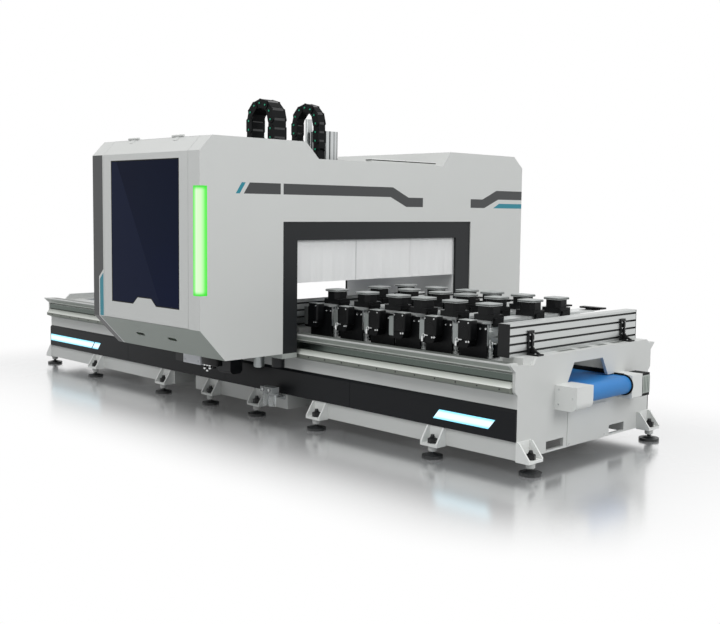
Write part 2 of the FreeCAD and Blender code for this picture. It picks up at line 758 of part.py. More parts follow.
def stadium(radius, y0, y1):
    """A racetrack-shaped block round both rollers."""
    low = ROLLER_Z - radius
    high = ROLLER_Z + radius
    a = FreeCAD.Vector(TAIL_ROLLER_X, y0, low)
    b = FreeCAD.Vector(DRIVE_ROLLER_X, y0, low)
    c = FreeCAD.Vector(DRIVE_ROLLER_X, y0, high)
    d = FreeCAD.Vector(TAIL_ROLLER_X, y0, high)
    right = Part.Arc(b, FreeCAD.Vector(DRIVE_ROLLER_X + radius, y0, ROLLER_Z), c).toShape()
    left = Part.Arc(d, FreeCAD.Vector(TAIL_ROLLER_X - radius, y0, ROLLER_Z), a).toShape()
    wire = Part.Wire([Part.makeLine(a, b), right, Part.makeLine(c, d), left])
    return Part.Face(wire).extrude(FreeCAD.Vector(0, y1 - y0, 0))


def conveyor_belt():
    """The endless belt round the two rollers."""
    inner = ROLLER_RADIUS + ROLLER_GAP
    outer = stadium(inner + BELT_THICK, -BELT_HALF, BELT_HALF)
    return outer.cut(stadium(inner, -BELT_HALF - OVER, BELT_HALF + OVER))


def conveyor_deck():
    """Slider plate, side plates with the roller bearings, and legs on the trough floor."""
    top = BELT_TOP - BELT_THICK
    low = top - DECK_SIDE_HEIGHT
    inner = BELT_HALF + DECK_SIDE_GAP
    left = TAIL_ROLLER_X - DECK_SIDE_REACH
    right = DRIVE_ROLLER_X + DECK_SIDE_REACH
    clear = ROLLER_RADIUS + DECK_ROLLER_GAP
    pieces = [box(TAIL_ROLLER_X + clear, DRIVE_ROLLER_X - clear, -inner, inner, top - DECK_THICK, top)]
    for sign in (-1, 1):
        pieces.append(box(left, right, sign * inner, sign * DECK_OUTER_Y, low, top))
    step = (BED_LENGTH - 2 * DECK_LEG_MARGIN) / (DECK_LEG_COUNT - 1)
    for number in range(DECK_LEG_COUNT):
        x0 = -DECK_LEG_MARGIN - number * step - DECK_LEG_WIDTH / 2
        x1 = x0 + DECK_LEG_WIDTH
        reach = DECK_OUTER_Y + DECK_LEG_WIDTH
        for sign in (-1, 1):
            pieces.append(box(x0, x1, sign * DECK_OUTER_Y, sign * reach, TROUGH_FLOOR, top - DECK_THICK))
        pieces.append(box(x0, x1, -reach, reach, DECK_TIE_LOW, DECK_TIE_LOW + DECK_TIE_HEIGHT))
    body = joined(pieces)
    bores = []
    for x in (TAIL_ROLLER_X, DRIVE_ROLLER_X):
        bores.append(rod((x, -DECK_OUTER_Y - OVER, ROLLER_Z), (0, 1, 0),
                         ROLLER_SHAFT_RADIUS + RUNNING_GAP, 2 * (DECK_OUTER_Y + OVER)))
    return body.cut(bores)


def roller(x, front, rear):
    """A belt roller with a shaft from the front to the rear."""
    half = BELT_HALF - ROLLER_INSET
    drum = rod((x, -half, ROLLER_Z), (0, 1, 0), ROLLER_RADIUS, 2 * half)
    shaft = rod((x, front, ROLLER_Z), (0, 1, 0), ROLLER_SHAFT_RADIUS, rear - front)
    return joined([drum, shaft])


def edges_along(solid, axis):
    """The straight edges of a solid that run along a direction."""
    direction = FreeCAD.Vector(*axis)
    found = []
    for edge in solid.Edges:
        if len(edge.Vertexes) == 2 and edge.Curve.TypeId == "Part::GeomLine":
            run = edge.Vertexes[1].Point - edge.Vertexes[0].Point
            if abs(run.normalize().dot(direction)) > 1 - EPS:
                found.append(edge)
    return found


def rounded_low_front(solid, radius):
    """Round the low edge that runs across the front of a block at the conveyor end."""
    limit = solid.BoundBox
    picked = []
    for edge in edges_along(solid, (0, 1, 0)):
        point = edge.CenterOfMass
        if abs(point.x - limit.XMax) < EPS and abs(point.z - limit.ZMin) < EPS:
            picked.append(edge)
    return solid.makeFillet(radius, picked)


def conveyor_housing():
    """The open belt hood on one side and the bearing block on the other."""
    outer = box(0, HOOD_REACH, -HOOD_OUTER_Y, -HOOD_INNER_Y, HOOD_LOW, HOOD_TOP)
    inner = box(-OVER, HOOD_REACH - HOOD_SKIN, HOOD_SKIN - HOOD_OUTER_Y, OVER - HOOD_INNER_Y,
                HOOD_LOW + HOOD_SKIN, HOOD_TOP - HOOD_SKIN)
    hood = rounded_low_front(outer, HOOD_ROUND).cut(rounded_low_front(inner, HOOD_ROUND - HOOD_SKIN))
    block = box(0, BLOCK_REACH, DECK_OUTER_Y, BLOCK_OUTER_Y, BLOCK_LOW, BLOCK_TOP)
    block = rounded_low_front(block, BLOCK_ROUND)
    bore = rod((DRIVE_ROLLER_X, DECK_OUTER_Y - OVER, ROLLER_Z), (0, 1, 0), ROLLER_SHAFT_RADIUS + RUNNING_GAP,
               DRIVE_SHAFT_REAR_Y + 2 * OVER - DECK_OUTER_Y)
    return [hood, block.cut(bore)]


def conveyor_motor():
    """A ribbed drive motor beside the bearing block."""
    depth = MOTOR_RIB_DEPTH
    pieces = [box(MOTOR_ROOT, MOTOR_REACH - depth, BLOCK_OUTER_Y, MOTOR_OUTER_Y,
                  MOTOR_LOW + depth, MOTOR_TOP - depth)]
    step = (MOTOR_OUTER_Y - BLOCK_OUTER_Y - MOTOR_RIB) / (MOTOR_RIB_COUNT - 1)
    for number in range(MOTOR_RIB_COUNT):
        y0 = BLOCK_OUTER_Y + number * step
        pieces.append(box(MOTOR_ROOT, MOTOR_REACH, y0, y0 + MOTOR_RIB, MOTOR_LOW, MOTOR_TOP))
    return joined(pieces)


# End fences

def end_fence(face):
    """A slotted aluminium extrusion across the bed, with its working face towards +X."""
    back = face - FENCE_THICK
    high = PLATEAU_TOP + FENCE_HEIGHT
    bar = box(back, face, -FENCE_FRONT_Y, FENCE_REAR_Y, PLATEAU_TOP, high)
    front = -FENCE_FRONT_Y - OVER
    rear = FENCE_REAR_Y + OVER
    cuts = []
    for number in range(FENCE_SLOT_COUNT):
        z = PLATEAU_TOP + FENCE_SLOT_FIRST + number * FENCE_SLOT_PITCH
        for edge, sign in ((face, -1), (back, 1)):
            cuts.append(box(edge - sign * OVER, edge + sign * FENCE_SLOT_DEPTH, front, rear,
                            z - FENCE_SLOT_WIDTH / 2, z + FENCE_SLOT_WIDTH / 2))
            cuts.append(box(edge + sign * FENCE_SLOT_NECK, edge + sign * FENCE_SLOT_DEPTH, front, rear,
                            z - FENCE_SLOT_TEE / 2, z + FENCE_SLOT_TEE / 2))
        core = FENCE_SLOT_DEPTH + FENCE_CORE_WALL
        cuts.append(box(back + core, face - core, front, rear,
                        z - FENCE_SLOT_TEE / 2, z + FENCE_SLOT_TEE / 2))
    return bar.cut(cuts)


def fence_bracket(face, place, sign):
    """An angle bracket with a tapered web, holding a fence on its raised bar."""
    half = FENCE_BRACKET_WIDTH / 2
    base = PLATEAU_TOP
    top = base + FENCE_BRACKET_HEIGHT
    plate = FENCE_BRACKET_PLATE
    toe = face + sign * FENCE_BRACKET_TOE
    upright = box(face, face + sign * plate, place - half, place + half, base, top)
    foot = box(face, toe, place - half, place + half, base, base + plate)
    outline = [(face, base), (toe, base), (toe, base + plate),
               (face + sign * FENCE_BRACKET_BEND, base + plate + FENCE_BRACKET_HEEL),
               (face + sign * FENCE_BRACKET_NECK, base + plate + FENCE_BRACKET_BEND),
               (face + sign * FENCE_BRACKET_NECK, top - FENCE_BRACKET_HEEL), (face, top)]
    web = prism_y(outline, place - FENCE_BRACKET_WEB / 2, place + FENCE_BRACKET_WEB / 2)
    return joined([upright, foot, web])


def fence_fittings():
    """End caps and angle brackets of both fences."""
    pieces = []
    high = PLATEAU_TOP + FENCE_HEIGHT
    for face in FENCE_FACES:
        back = face - FENCE_THICK
        pieces.append(box(back, face, -FENCE_FRONT_Y - FENCE_CAP, -FENCE_FRONT_Y, PLATEAU_TOP, high))
        pieces.append(box(back, face, FENCE_REAR_Y, FENCE_REAR_Y + FENCE_CAP, PLATEAU_TOP, high))
        for place in FENCE_BRACKET_PLACES:
            if face == FENCE_FACES[0]:
                pieces.append(fence_bracket(face, place, 1))
            else:
                pieces.append(fence_bracket(back, place, -1))
    return pieces


# Consoles and pods

def console_beam(place):
    """A hollow console beam with side grooves, riding three shoes."""
    half = BEAM_WIDTH / 2
    front = -CONSOLE_FRONT_Y
    pieces = [box(place - half, place + half, front, CONSOLE_REAR_Y, BEAM_LOW, BEAM_TOP)]
    shoe = SHOE_WIDTH / 2
    for y in TABLE_RAIL_PLACES:
        pieces.append(box(place - shoe, place + shoe, y - SHOE_LENGTH / 2, y + SHOE_LENGTH / 2,
                          TABLE_TOP + SHOE_LIFT, BEAM_LOW))
    body = joined(pieces)
    cuts = [box(place - half + BEAM_WALL, place + half - BEAM_WALL, front - OVER, CONSOLE_REAR_Y + OVER,
                BEAM_LOW + BEAM_WALL, BEAM_TOP - BEAM_WALL)]
    for z in BEAM_GROOVE_PLACES:
        for sign in (-1, 1):
            cuts.append(box(place + sign * (half - BEAM_GROOVE_DEPTH), place + sign * (half + OVER),
                            front - OVER, CONSOLE_REAR_Y + OVER, z - BEAM_GROOVE / 2, z + BEAM_GROOVE / 2))
    body = body.cut(cuts)
    slots = []
    reach = TABLE_RAIL_WIDTH / 2 + SLIDE_GAP
    for y in TABLE_RAIL_PLACES:
        slots.append(box(place - shoe - OVER, place + shoe + OVER, y - reach, y + reach,
                         TABLE_TOP, TABLE_TOP + TABLE_RAIL_HEIGHT + SLIDE_GAP))
    return body.cut(slots)


def console_stop(place):
    """The clamped cylinder of a stop pin, bored for its rod."""
    x = place + STOP_OFFSET
    cylinder = prism_z(ring(STOP_SIDES, STOP_BODY_RADIUS, x, STOP_Y), STOP_BODY_LOW, STOP_BODY_TOP)
    reach = STOP_BODY_RADIUS + STOP_CLAMP
    clamp = box(place + BEAM_WIDTH / 2, x + reach, STOP_Y - reach, STOP_Y + reach, STOP_CLAMP_LOW, STOP_CLAMP_HIGH)
    bore = prism_z(ring(STOP_SIDES, STOP_ROD_RADIUS + STOP_BORE_GAP, x, STOP_Y),
                   STOP_ROD_TOP - STOP_ROD_DEPTH - OVER, STOP_ROD_TOP)
    return joined([cylinder, clamp]).cut(bore)


def console_head(place):
    """The rounded drive box at the front of a console."""
    middle = place + HEAD_OFFSET
    front = -CONSOLE_FRONT_Y - END_COVER_THICK
    head = box(middle - HEAD_WIDTH / 2, middle + HEAD_WIDTH / 2, front - HEAD_DEPTH, front,
               HEAD_TOP - HEAD_HEIGHT, HEAD_TOP)
    low = [e for e in edges_along(head, (0, 1, 0)) if e.CenterOfMass.z < HEAD_TOP - HEAD_ROUND]
    return head.makeFillet(HEAD_ROUND, low)


def console(place):
    front = -CONSOLE_FRONT_Y
    cover = box(place - END_COVER_WIDTH / 2, place + END_COVER_WIDTH / 2, front - END_COVER_THICK, front,
                END_COVER_LOW, END_COVER_TOP)
    rear = CONSOLE_REAR_Y - TOP_BAR_LENGTH
    middle = place + TOP_BAR_OFFSET
    neck = TOP_BAR_NECK / 2
    half = TOP_BAR_WIDTH / 2
    low = BEAM_TOP + TOP_BAR_RISE
    stem = box(middle - neck, middle + neck, rear, CONSOLE_REAR_Y, BEAM_TOP, low)
    bar = box(middle - half, middle + half, rear, CONSOLE_REAR_Y, low, low + TOP_BAR_THICK)
    return [console_beam(place), console_stop(place), cover, console_head(place), joined([stem, bar])]


def stop_pin(place):
    """The round stop rod in its cylinder."""
    x = place + STOP_OFFSET
    return prism_z(ring(STOP_SIDES, STOP_ROD_RADIUS, x, STOP_Y), STOP_ROD_TOP - STOP_ROD_DEPTH, STOP_ROD_TOP)


def corner_outline(half, corner):
    """A square about the origin with its corners cut."""
    inner = half - corner
    return [(-inner, -half), (inner, -half), (half, -inner), (half, inner),
            (inner, half), (-inner, half), (-half, inner), (-half, -inner)]


def pod(place, row):
    """A suction pod whose jaws hook into the beam's upper grooves."""
    top_low = POD_TOP - POD_PLATE_THICK
    plate = prism_z(corner_outline(POD_PLATE / 2, POD_PLATE_CORNER), top_low, POD_TOP)
    neck = prism_z(corner_outline(POD_NECK / 2, POD_NECK_CORNER), POD_NECK_LOW, top_low)
    wide = POD_BASE_WIDTH / 2
    base_low = BEAM_TOP + SLIDE_GAP
    pieces = [neck, box(-wide, wide, -POD_BASE / 2, POD_BASE / 2, base_low, POD_NECK_LOW)]
    inner = BEAM_WIDTH / 2 + SLIDE_GAP
    groove = BEAM_GROOVE_PLACES[-1]
    hook_half = BEAM_GROOVE / 2 - SLIDE_GAP
    for sign in (-1, 1):
        pieces.append(box(sign * inner, sign * (inner + POD_JAW_THICK), -POD_JAW_LENGTH / 2, POD_JAW_LENGTH / 2,
                          POD_JAW_LOW, POD_JAW_HIGH))
        pieces.append(box(sign * (inner - BEAM_GROOVE_DEPTH), sign * inner, -POD_JAW_LENGTH / 2, POD_JAW_LENGTH / 2,
                          groove - hook_half, groove + hook_half))
    body = joined(pieces)
    return [shifted(body, place, row, 0), shifted(plate, place, row, 0)]


# Gantry

def portal_frame():
    """Two box legs, a header bar at both ends, and guide blocks on the bed rails."""
    x0 = LAST_X + TRIM_RECESS
    x1 = GANTRY_FACE - TRIM_RECESS
    frames = []
    for y0, y1 in ((-LEG_OUTER_Y, -LEG_INNER_Y), (REAR_LEG_INNER_Y, REAR_LEG_OUTER_Y)):
        leg = box(x0, x1, y0, y1, LEG_LOW, PORTAL_TOP)
        frames.append(leg.cut(box(x0 + LEG_WALL, x1 - LEG_WALL, y0 + LEG_WALL, y1 - LEG_WALL,
                                  LEG_LOW + LEG_WALL, PORTAL_TOP + OVER)))
    for edge in (x0, x1 - PORTAL_BAR):
        frames.append(box(edge, edge + PORTAL_BAR, -LEG_INNER_Y, REAR_LEG_INNER_Y, OPENING_TOP, PORTAL_TOP))
    blocks = []
    seat = RAIL_SEAT_Y + RAIL_DEPTH + SLIDE_GAP
    low = RAIL_LOW + (RAIL_HEIGHT - SHOE_BLOCK_HEIGHT) / 2
    for edge in (x0 + SHOE_BLOCK_MARGIN, x1 - SHOE_BLOCK_MARGIN - SHOE_BLOCK_LENGTH):
        for sign, leg_y in ((-1, LEG_INNER_Y), (1, REAR_LEG_INNER_Y)):
            blocks.append(box(edge, edge + SHOE_BLOCK_LENGTH, sign * seat, sign * leg_y,
                              low, low + SHOE_BLOCK_HEIGHT))
    return [joined(frames)] + blocks


def chamfer_z(y, depth):
    """Height of the cabin's upper bevel at a y, a depth inside its outer face."""
    slope = (HOUSING_TOP - CABIN_SHOULDER) / (CABIN_FRONT_Y - CABIN_TOP_Y)
    return CABIN_SHOULDER + (y + CABIN_FRONT_Y) * slope - depth * math.sqrt(1 + slope * slope)


def top_slot(z0, z1):
    """The long slot in the roof that the ram and the energy chains travel in."""
    front = CHAIN_BANDS[0][0] - TRAVEL_FRONT - TOP_SLOT_MARGIN
    rear = RAM_Y + RAM_WIDTH / 2 + TRAVEL_REAR + TOP_SLOT_MARGIN
    return box(CHAIN_LEFT_X - TOP_SLOT_MARGIN, CHAIN_RIGHT_X + TOP_SLOT_MARGIN, front, rear, z0, z1)


def hand_hold(setback):
    """A rounded slot cutter, square to the cabin's lower bevel."""
    depth = SKIN * 4
    cutter = box(-HOLD_WIDTH / 2, HOLD_WIDTH / 2, -HOLD_HEIGHT / 2, HOLD_HEIGHT / 2, -depth, depth)
    cutter = cutter.makeFillet(HOLD_HEIGHT / 2 - SKIN / 2, edges_along(cutter, (0, 0, 1)))
    tilt = 90 + math.degrees(math.atan2(CABIN_FRONT_Y - CABIN_LOW_Y, CABIN_BEND - CABIN_LOW))
    cutter.rotate(FreeCAD.Vector(0, 0, 0), FreeCAD.Vector(1, 0, 0), tilt)
    middle_y = -(CABIN_FRONT_Y + CABIN_LOW_Y) / 2
    return shifted(cutter, GANTRY_FACE - setback, middle_y, (CABIN_BEND + CABIN_LOW) / 2)


def front_housing():
    """The operator-side cabin shell with its door opening, hinge knuckles and roof slot."""
    outline = [(-LEG_OUTER_Y, CABIN_LOW), (-CABIN_LOW_Y, CABIN_LOW), (-CABIN_FRONT_Y, CABIN_BEND),
               (-CABIN_FRONT_Y, CABIN_SHOULDER), (-CABIN_TOP_Y, HOUSING_TOP), (-LEG_OUTER_Y, HOUSING_TOP)]
    shell = prism_x(outline, LAST_X, GANTRY_FACE)
    bend = (CABIN_FRONT_Y - CABIN_LOW_Y) / (CABIN_BEND - CABIN_LOW)
    low_skin = SKIN * math.sqrt(1 + bend * bend)
    inner_low_y = -CABIN_LOW_Y + low_skin - SKIN * bend
    inner = [(OVER - LEG_OUTER_Y, CABIN_LOW + SKIN), (inner_low_y, CABIN_LOW + SKIN),
             (SKIN - CABIN_FRONT_Y, CABIN_BEND + low_skin - SKIN),
             (SKIN - CABIN_FRONT_Y, chamfer_z(SKIN - CABIN_FRONT_Y, SKIN)),
             (SKIN - CABIN_TOP_Y, HOUSING_TOP - SKIN), (OVER - LEG_OUTER_Y, HOUSING_TOP - SKIN)]
    shell = shell.cut(prism_x(inner, LAST_X + SKIN, GANTRY_FACE - SKIN))
    cuts = [box(DOOR_LEFT, DOOR_RIGHT, -CABIN_FRONT_Y - OVER, -CABIN_TOP_Y, CABIN_BEND, HOUSING_TOP + OVER)]
    cuts.append(box(GANTRY_FACE - LAMP_WIDTH, GANTRY_FACE + OVER, -CABIN_FRONT_Y - OVER,
                    LAMP_DEPTH - CABIN_FRONT_Y, LAMP_LOW, LAMP_HIGH))
    cuts.append(top_slot(HOUSING_TOP - SKIN - OVER, HOUSING_TOP + OVER))
    cuts += [hand_hold(setback) for setback in HOLD_SETBACKS]
    shell = shell.cut(cuts)
    inside = SKIN - CABIN_FRONT_Y
    pieces = [shell]
    pieces.append(box(LAST_X + SKIN, GANTRY_FACE - SKIN, -LEG_OUTER_Y - SKIN, -LEG_OUTER_Y, CABIN_LOW + SKIN, TRIM_TOP))
    for edge, sign in ((DOOR_LEFT, -1), (DOOR_RIGHT, 1)):
        pieces.append(box(edge, edge + sign * SKIN, inside, inside + JAMB_DEPTH, CABIN_BEND + SKIN, CABIN_SHOULDER - SKIN))
    for start in hinge_places():
        third = HINGE_LENGTH / 3
        for x0 in (start, start + 2 * third):
            pieces.append(rod((x0, -CABIN_TOP_Y, HINGE_Z), (1, 0, 0), HINGE_RADIUS, third))
            pieces.append(box(x0, x0 + third, -CABIN_TOP_Y, HINGE_LEAF - CABIN_TOP_Y, HOUSING_TOP, HOUSING_TOP + HINGE_PLATE))
        pieces.append(rod((start, -CABIN_TOP_Y, HINGE_Z), (1, 0, 0), HINGE_PIN_RADIUS, HINGE_LENGTH))
    return joined(pieces)


def hinge_places():
    """The left end of each door hinge."""
    return (DOOR_LEFT + HINGE_MARGIN, DOOR_RIGHT - HINGE_MARGIN - HINGE_LENGTH)


def front_door():
    """The bevelled door: a folded sheet pan with the window opening and two hinge knuckles."""
    x0 = DOOR_LEFT + DOOR_GAP
    x1 = DOOR_RIGHT - DOOR_GAP
    front = -CABIN_FRONT_Y
    low = CABIN_BEND + DOOR_GAP
    top_y = -CABIN_TOP_Y - DOOR_GAP
    back = front + DOOR_THICK
    outline = [(front, low), (front, CABIN_SHOULDER), (top_y, chamfer_z(top_y, 0)),
               (top_y, chamfer_z(top_y, DOOR_THICK)), (back, chamfer_z(back, DOOR_THICK)), (back, low)]
    door = prism_x(outline, x0, x1)
    skin = DOOR_RETURN
    hollow_y = top_y - skin
    deep = DOOR_THICK + OVER
    hollow = [(front + skin, low + skin), (front + skin, chamfer_z(front + skin, skin)),
              (hollow_y, chamfer_z(hollow_y, skin)), (hollow_y, chamfer_z(hollow_y, deep)),
              (back + OVER, chamfer_z(back + OVER, deep)), (back + OVER, low + skin)]
    door = door.cut(prism_x(hollow, x0 + skin, x1 - skin))
    door = door.cut(prism_y(glass_outline(), front - OVER, front + DOOR_THICK))
    slope = math.atan2(HOUSING_TOP - CABIN_SHOULDER, CABIN_FRONT_Y - CABIN_TOP_Y)
    along = (-math.cos(slope), -math.sin(slope))
    out = (-math.sin(slope), math.cos(slope))
    corner = (-CABIN_TOP_Y, HOUSING_TOP)
    leaf = []
    for run, rise in ((-HINGE_PLATE, 0), (HINGE_LEAF, 0), (HINGE_LEAF, HINGE_PLATE), (-HINGE_PLATE, HINGE_PLATE)):
        leaf.append((corner[0] + run * along[0] + rise * out[0], corner[1] + run * along[1] + rise * out[1]))
    pieces = [door]
    for start in hinge_places():
        third = HINGE_LENGTH / 3
        left = start + third + SLIDE_GAP
        right = start + 2 * third - SLIDE_GAP
        pieces.append(prism_x(leaf, left, right))
        pieces.append(rod((left, -CABIN_TOP_Y, HINGE_Z), (1, 0, 0), HINGE_RADIUS, right - left))
    body = joined(pieces)
    bores = []
    for start in hinge_places():
        bores.append(rod((start, -CABIN_TOP_Y, HINGE_Z), (1, 0, 0), HINGE_PIN_RADIUS + RUNNING_GAP, HINGE_LENGTH))
    return body.cut(bores)


def glass_outline():
    """The window as an (x, z) outline, with a tab rising from its lower edge."""
    left = DOOR_LEFT + GLASS_MARGIN_X
    right = DOOR_RIGHT - GLASS_MARGIN_X
    middle = (left + right) / 2
    return [(left, GLASS_LOW), (middle - GLASS_TAB_WIDTH / 2, GLASS_LOW),
            (middle - GLASS_TAB_TOP_WIDTH / 2, GLASS_LOW + GLASS_TAB_HEIGHT),
            (middle + GLASS_TAB_TOP_WIDTH / 2, GLASS_LOW + GLASS_TAB_HEIGHT),
            (middle + GLASS_TAB_WIDTH / 2, GLASS_LOW), (right, GLASS_LOW), (right, GLASS_HIGH), (left, GLASS_HIGH)]


def door_glass():
    front = -CABIN_FRONT_Y + GLASS_SINK
    return prism_y(glass_outline(), front, front + GLASS_THICK)


def status_light():
    """An L-shaped light cover that fills the notch in the cabin's corner."""
    front = -CABIN_FRONT_Y
    body = box(GANTRY_FACE - LAMP_WIDTH, GANTRY_FACE, front, front + LAMP_DEPTH, LAMP_LOW, LAMP_HIGH)
    corner = [e for e in edges_along(body, (0, 0, 1))
              if abs(e.CenterOfMass.x - GANTRY_FACE) < EPS and abs(e.CenterOfMass.y - front) < EPS]
    body = body.makeFillet(LAMP_ROUND, corner)
    return body.cut(box(GANTRY_FACE - LAMP_WIDTH - OVER, GANTRY_FACE - LAMP_WALL, front + LAMP_WALL,
                        front + LAMP_DEPTH + OVER, LAMP_LOW - OVER, LAMP_HIGH + OVER))


def header_cover():
    """The cover over the portal: two face panels, bent roof strips beside the slot, and fixing flanges."""
    profile = [(-LEG_OUTER_Y, TRIM_TOP), (-LEG_OUTER_Y, HOUSING_TOP), (DIP_FRONT_Y - DIP_FRONT_SLOPE, HOUSING_TOP),
               (DIP_FRONT_Y, DIP_TOP), (DIP_REAR_Y, DIP_TOP), (DIP_REAR_Y + DIP_REAR_SLOPE, HOUSING_TOP),
               (REAR_LEG_OUTER_Y, HOUSING_TOP), (REAR_LEG_OUTER_Y, TRIM_TOP)]
    top = profile[1:-1]
    roof = top + [(y, z - ROOF_SKIN) for y, z in top[::-1]]
    left = LAST_X + SKIN
    right = GANTRY_FACE - SKIN
    pieces = [prism_x(profile, LAST_X, left), prism_x(profile, right, GANTRY_FACE)]
    slot = top_slot(DIP_TOP - ROOF_SKIN - OVER, HOUSING_TOP + OVER).BoundBox
    pieces.append(prism_x(roof, left, slot.XMin))
    pieces.append(prism_x(roof, slot.XMax, right))
    bridge = prism_x(roof, slot.XMin, slot.XMax)
    pieces.append(bridge.cut(box(slot.XMin, slot.XMax, -LEG_OUTER_Y, slot.YMax, DIP_TOP - ROOF_SKIN, HOUSING_TOP)))
    for edge, sign in ((left, 1), (right, -1)):
        pieces.append(box(edge, edge + sign * PORTAL_FLANGE, -LEG_OUTER_Y, REAR_LEG_OUTER_Y,
                          PORTAL_TOP, PORTAL_TOP + SKIN))
    return pieces


def rear_housing():
    """The cabinet behind the bed, open towards the header for its cables."""
    outline = [(REAR_LEG_OUTER_Y, CABIN_LOW), (REAR_FACE_Y, CABIN_LOW), (REAR_FACE_Y, REAR_SHOULDER),
               (REAR_TOP_Y, HOUSING_TOP), (REAR_LEG_OUTER_Y, HOUSING_TOP)]
    shell = prism_x(outline, LAST_X, GANTRY_FACE)
    corner = SKIN / 2
    inner = [(REAR_LEG_OUTER_Y + SKIN, CABIN_LOW + SKIN), (REAR_FACE_Y - SKIN, CABIN_LOW + SKIN),
             (REAR_FACE_Y - SKIN, REAR_SHOULDER - corner), (REAR_TOP_Y - corner, HOUSING_TOP - SKIN),
             (REAR_LEG_OUTER_Y + SKIN, HOUSING_TOP - SKIN)]
    shell = shell.cut(prism_x(inner, LAST_X + SKIN, GANTRY_FACE - SKIN))
    return shell.cut(box(LAST_X + CABLE_GATE, GANTRY_FACE - CABLE_GATE, REAR_LEG_OUTER_Y - OVER,
                         REAR_LEG_OUTER_Y + SKIN + OVER, CROSS_HIGH + SKIN, DIP_TOP))


def strip_curtains():
    """Three hanging panels behind the header bar at both ends of the portal."""
    edges = (-LEG_INNER_Y + CURTAIN_GAP,) + CURTAIN_SEAMS + (REAR_LEG_INNER_Y - CURTAIN_GAP,)
    first = GANTRY_FACE - TRIM_RECESS - PORTAL_BAR
    last = LAST_X + TRIM_RECESS + PORTAL_BAR
    panels = []
    for x0, x1 in ((first - CURTAIN_THICK, first), (last, last + CURTAIN_THICK)):
        for y0, y1 in zip(edges[:-1], edges[1:]):
            panels.append(box(x0, x1, y0 + CURTAIN_GAP / 2, y1 - CURTAIN_GAP / 2, CURTAIN_LOW, CURTAIN_TOP))
    return panels


# Cross beam, carriage, ram and spindle

def cross_beam():
    """The box beam across the portal with two carriage rails on its face."""
    back = CROSS_FRONT - CROSS_DEPTH
    beam = box(back, CROSS_FRONT, -LEG_OUTER_Y, REAR_LEG_OUTER_Y, PORTAL_TOP, CROSS_HIGH)
    wall = CROSS_WALL
    beam = beam.cut(box(back + wall, CROSS_FRONT - wall, -LEG_OUTER_Y - OVER, REAR_LEG_OUTER_Y + OVER,
                        PORTAL_TOP + wall, CROSS_HIGH - wall))
    solids = [beam]
    for z in CROSS_RAIL_PLACES:
        solids.append(box(CROSS_FRONT, CROSS_FRONT + CROSS_RAIL_DEPTH, -LEG_OUTER_Y, REAR_LEG_OUTER_Y,
                          z - CROSS_RAIL / 2, z + CROSS_RAIL / 2))
    return solids


def y_carriage():
    """Carriage plate with blocks on the beam's rails and the ram's rails, and the chain tray."""
    back = CROSS_FRONT + CROSS_RAIL_DEPTH + BLOCK_CAP
    face = back + CARRIAGE_THICK
    half = CARRIAGE_LENGTH / 2
    pieces = [box(back, face, RAM_Y - half, RAM_Y + half, CARRIAGE_LOW, CARRIAGE_HIGH)]
    slots = []
    for z in CROSS_RAIL_PLACES:
        for sign in (-1, 1):
            outer = RAM_Y + sign * half
            pieces.append(box(CROSS_FRONT + FACE_GAP, back, outer - sign * BLOCK_WIDTH, outer,
                              z - BLOCK_WIDTH / 2, z + BLOCK_WIDTH / 2))
        reach = CROSS_RAIL / 2 + SLIDE_GAP
        slots.append(box(CROSS_FRONT, CROSS_FRONT + CROSS_RAIL_DEPTH + SLIDE_GAP, RAM_Y - half - OVER,
                         RAM_Y + half + OVER, z - reach, z + reach))
    ram_back = RAM_FRONT - RAM_DEPTH
    for z in RAM_BLOCK_PLACES:
        for sign in (-1, 1):
            y = RAM_Y + sign * RAM_RAIL_PITCH / 2
            pieces.append(box(face, ram_back - FACE_GAP, y - RAM_BLOCK_WIDTH / 2, y + RAM_BLOCK_WIDTH / 2,
                              z - RAM_BLOCK_HEIGHT / 2, z + RAM_BLOCK_HEIGHT / 2))
    for sign in (-1, 1):
        y = RAM_Y + sign * RAM_RAIL_PITCH / 2
        reach = RAM_RAIL / 2 + SLIDE_GAP
        slots.append(box(ram_back - RAM_RAIL_DEPTH - SLIDE_GAP, ram_back, y - reach, y + reach,
                         CARRIAGE_LOW - OVER, CARRIAGE_HIGH + OVER))
    front = CHAIN_BANDS[0][0] - TRAY_MARGIN
    inner = CHAIN_BANDS[1][1] + TRAY_MARGIN
    tray_top = CARRIAGE_HIGH + TRAY_THICK
    pieces.append(box(back, CHAIN_RIGHT_X + TRAY_MARGIN, front, inner, CARRIAGE_HIGH, tray_top))
    pieces.append(box(back, face, front, RAM_Y + half, CARRIAGE_HIGH, tray_top))
    pieces.append(box(back, face, front, RAM_Y - half, CARRIAGE_HIGH - TRAY_RIB, CARRIAGE_HIGH))
    return joined(pieces).cut(slots)


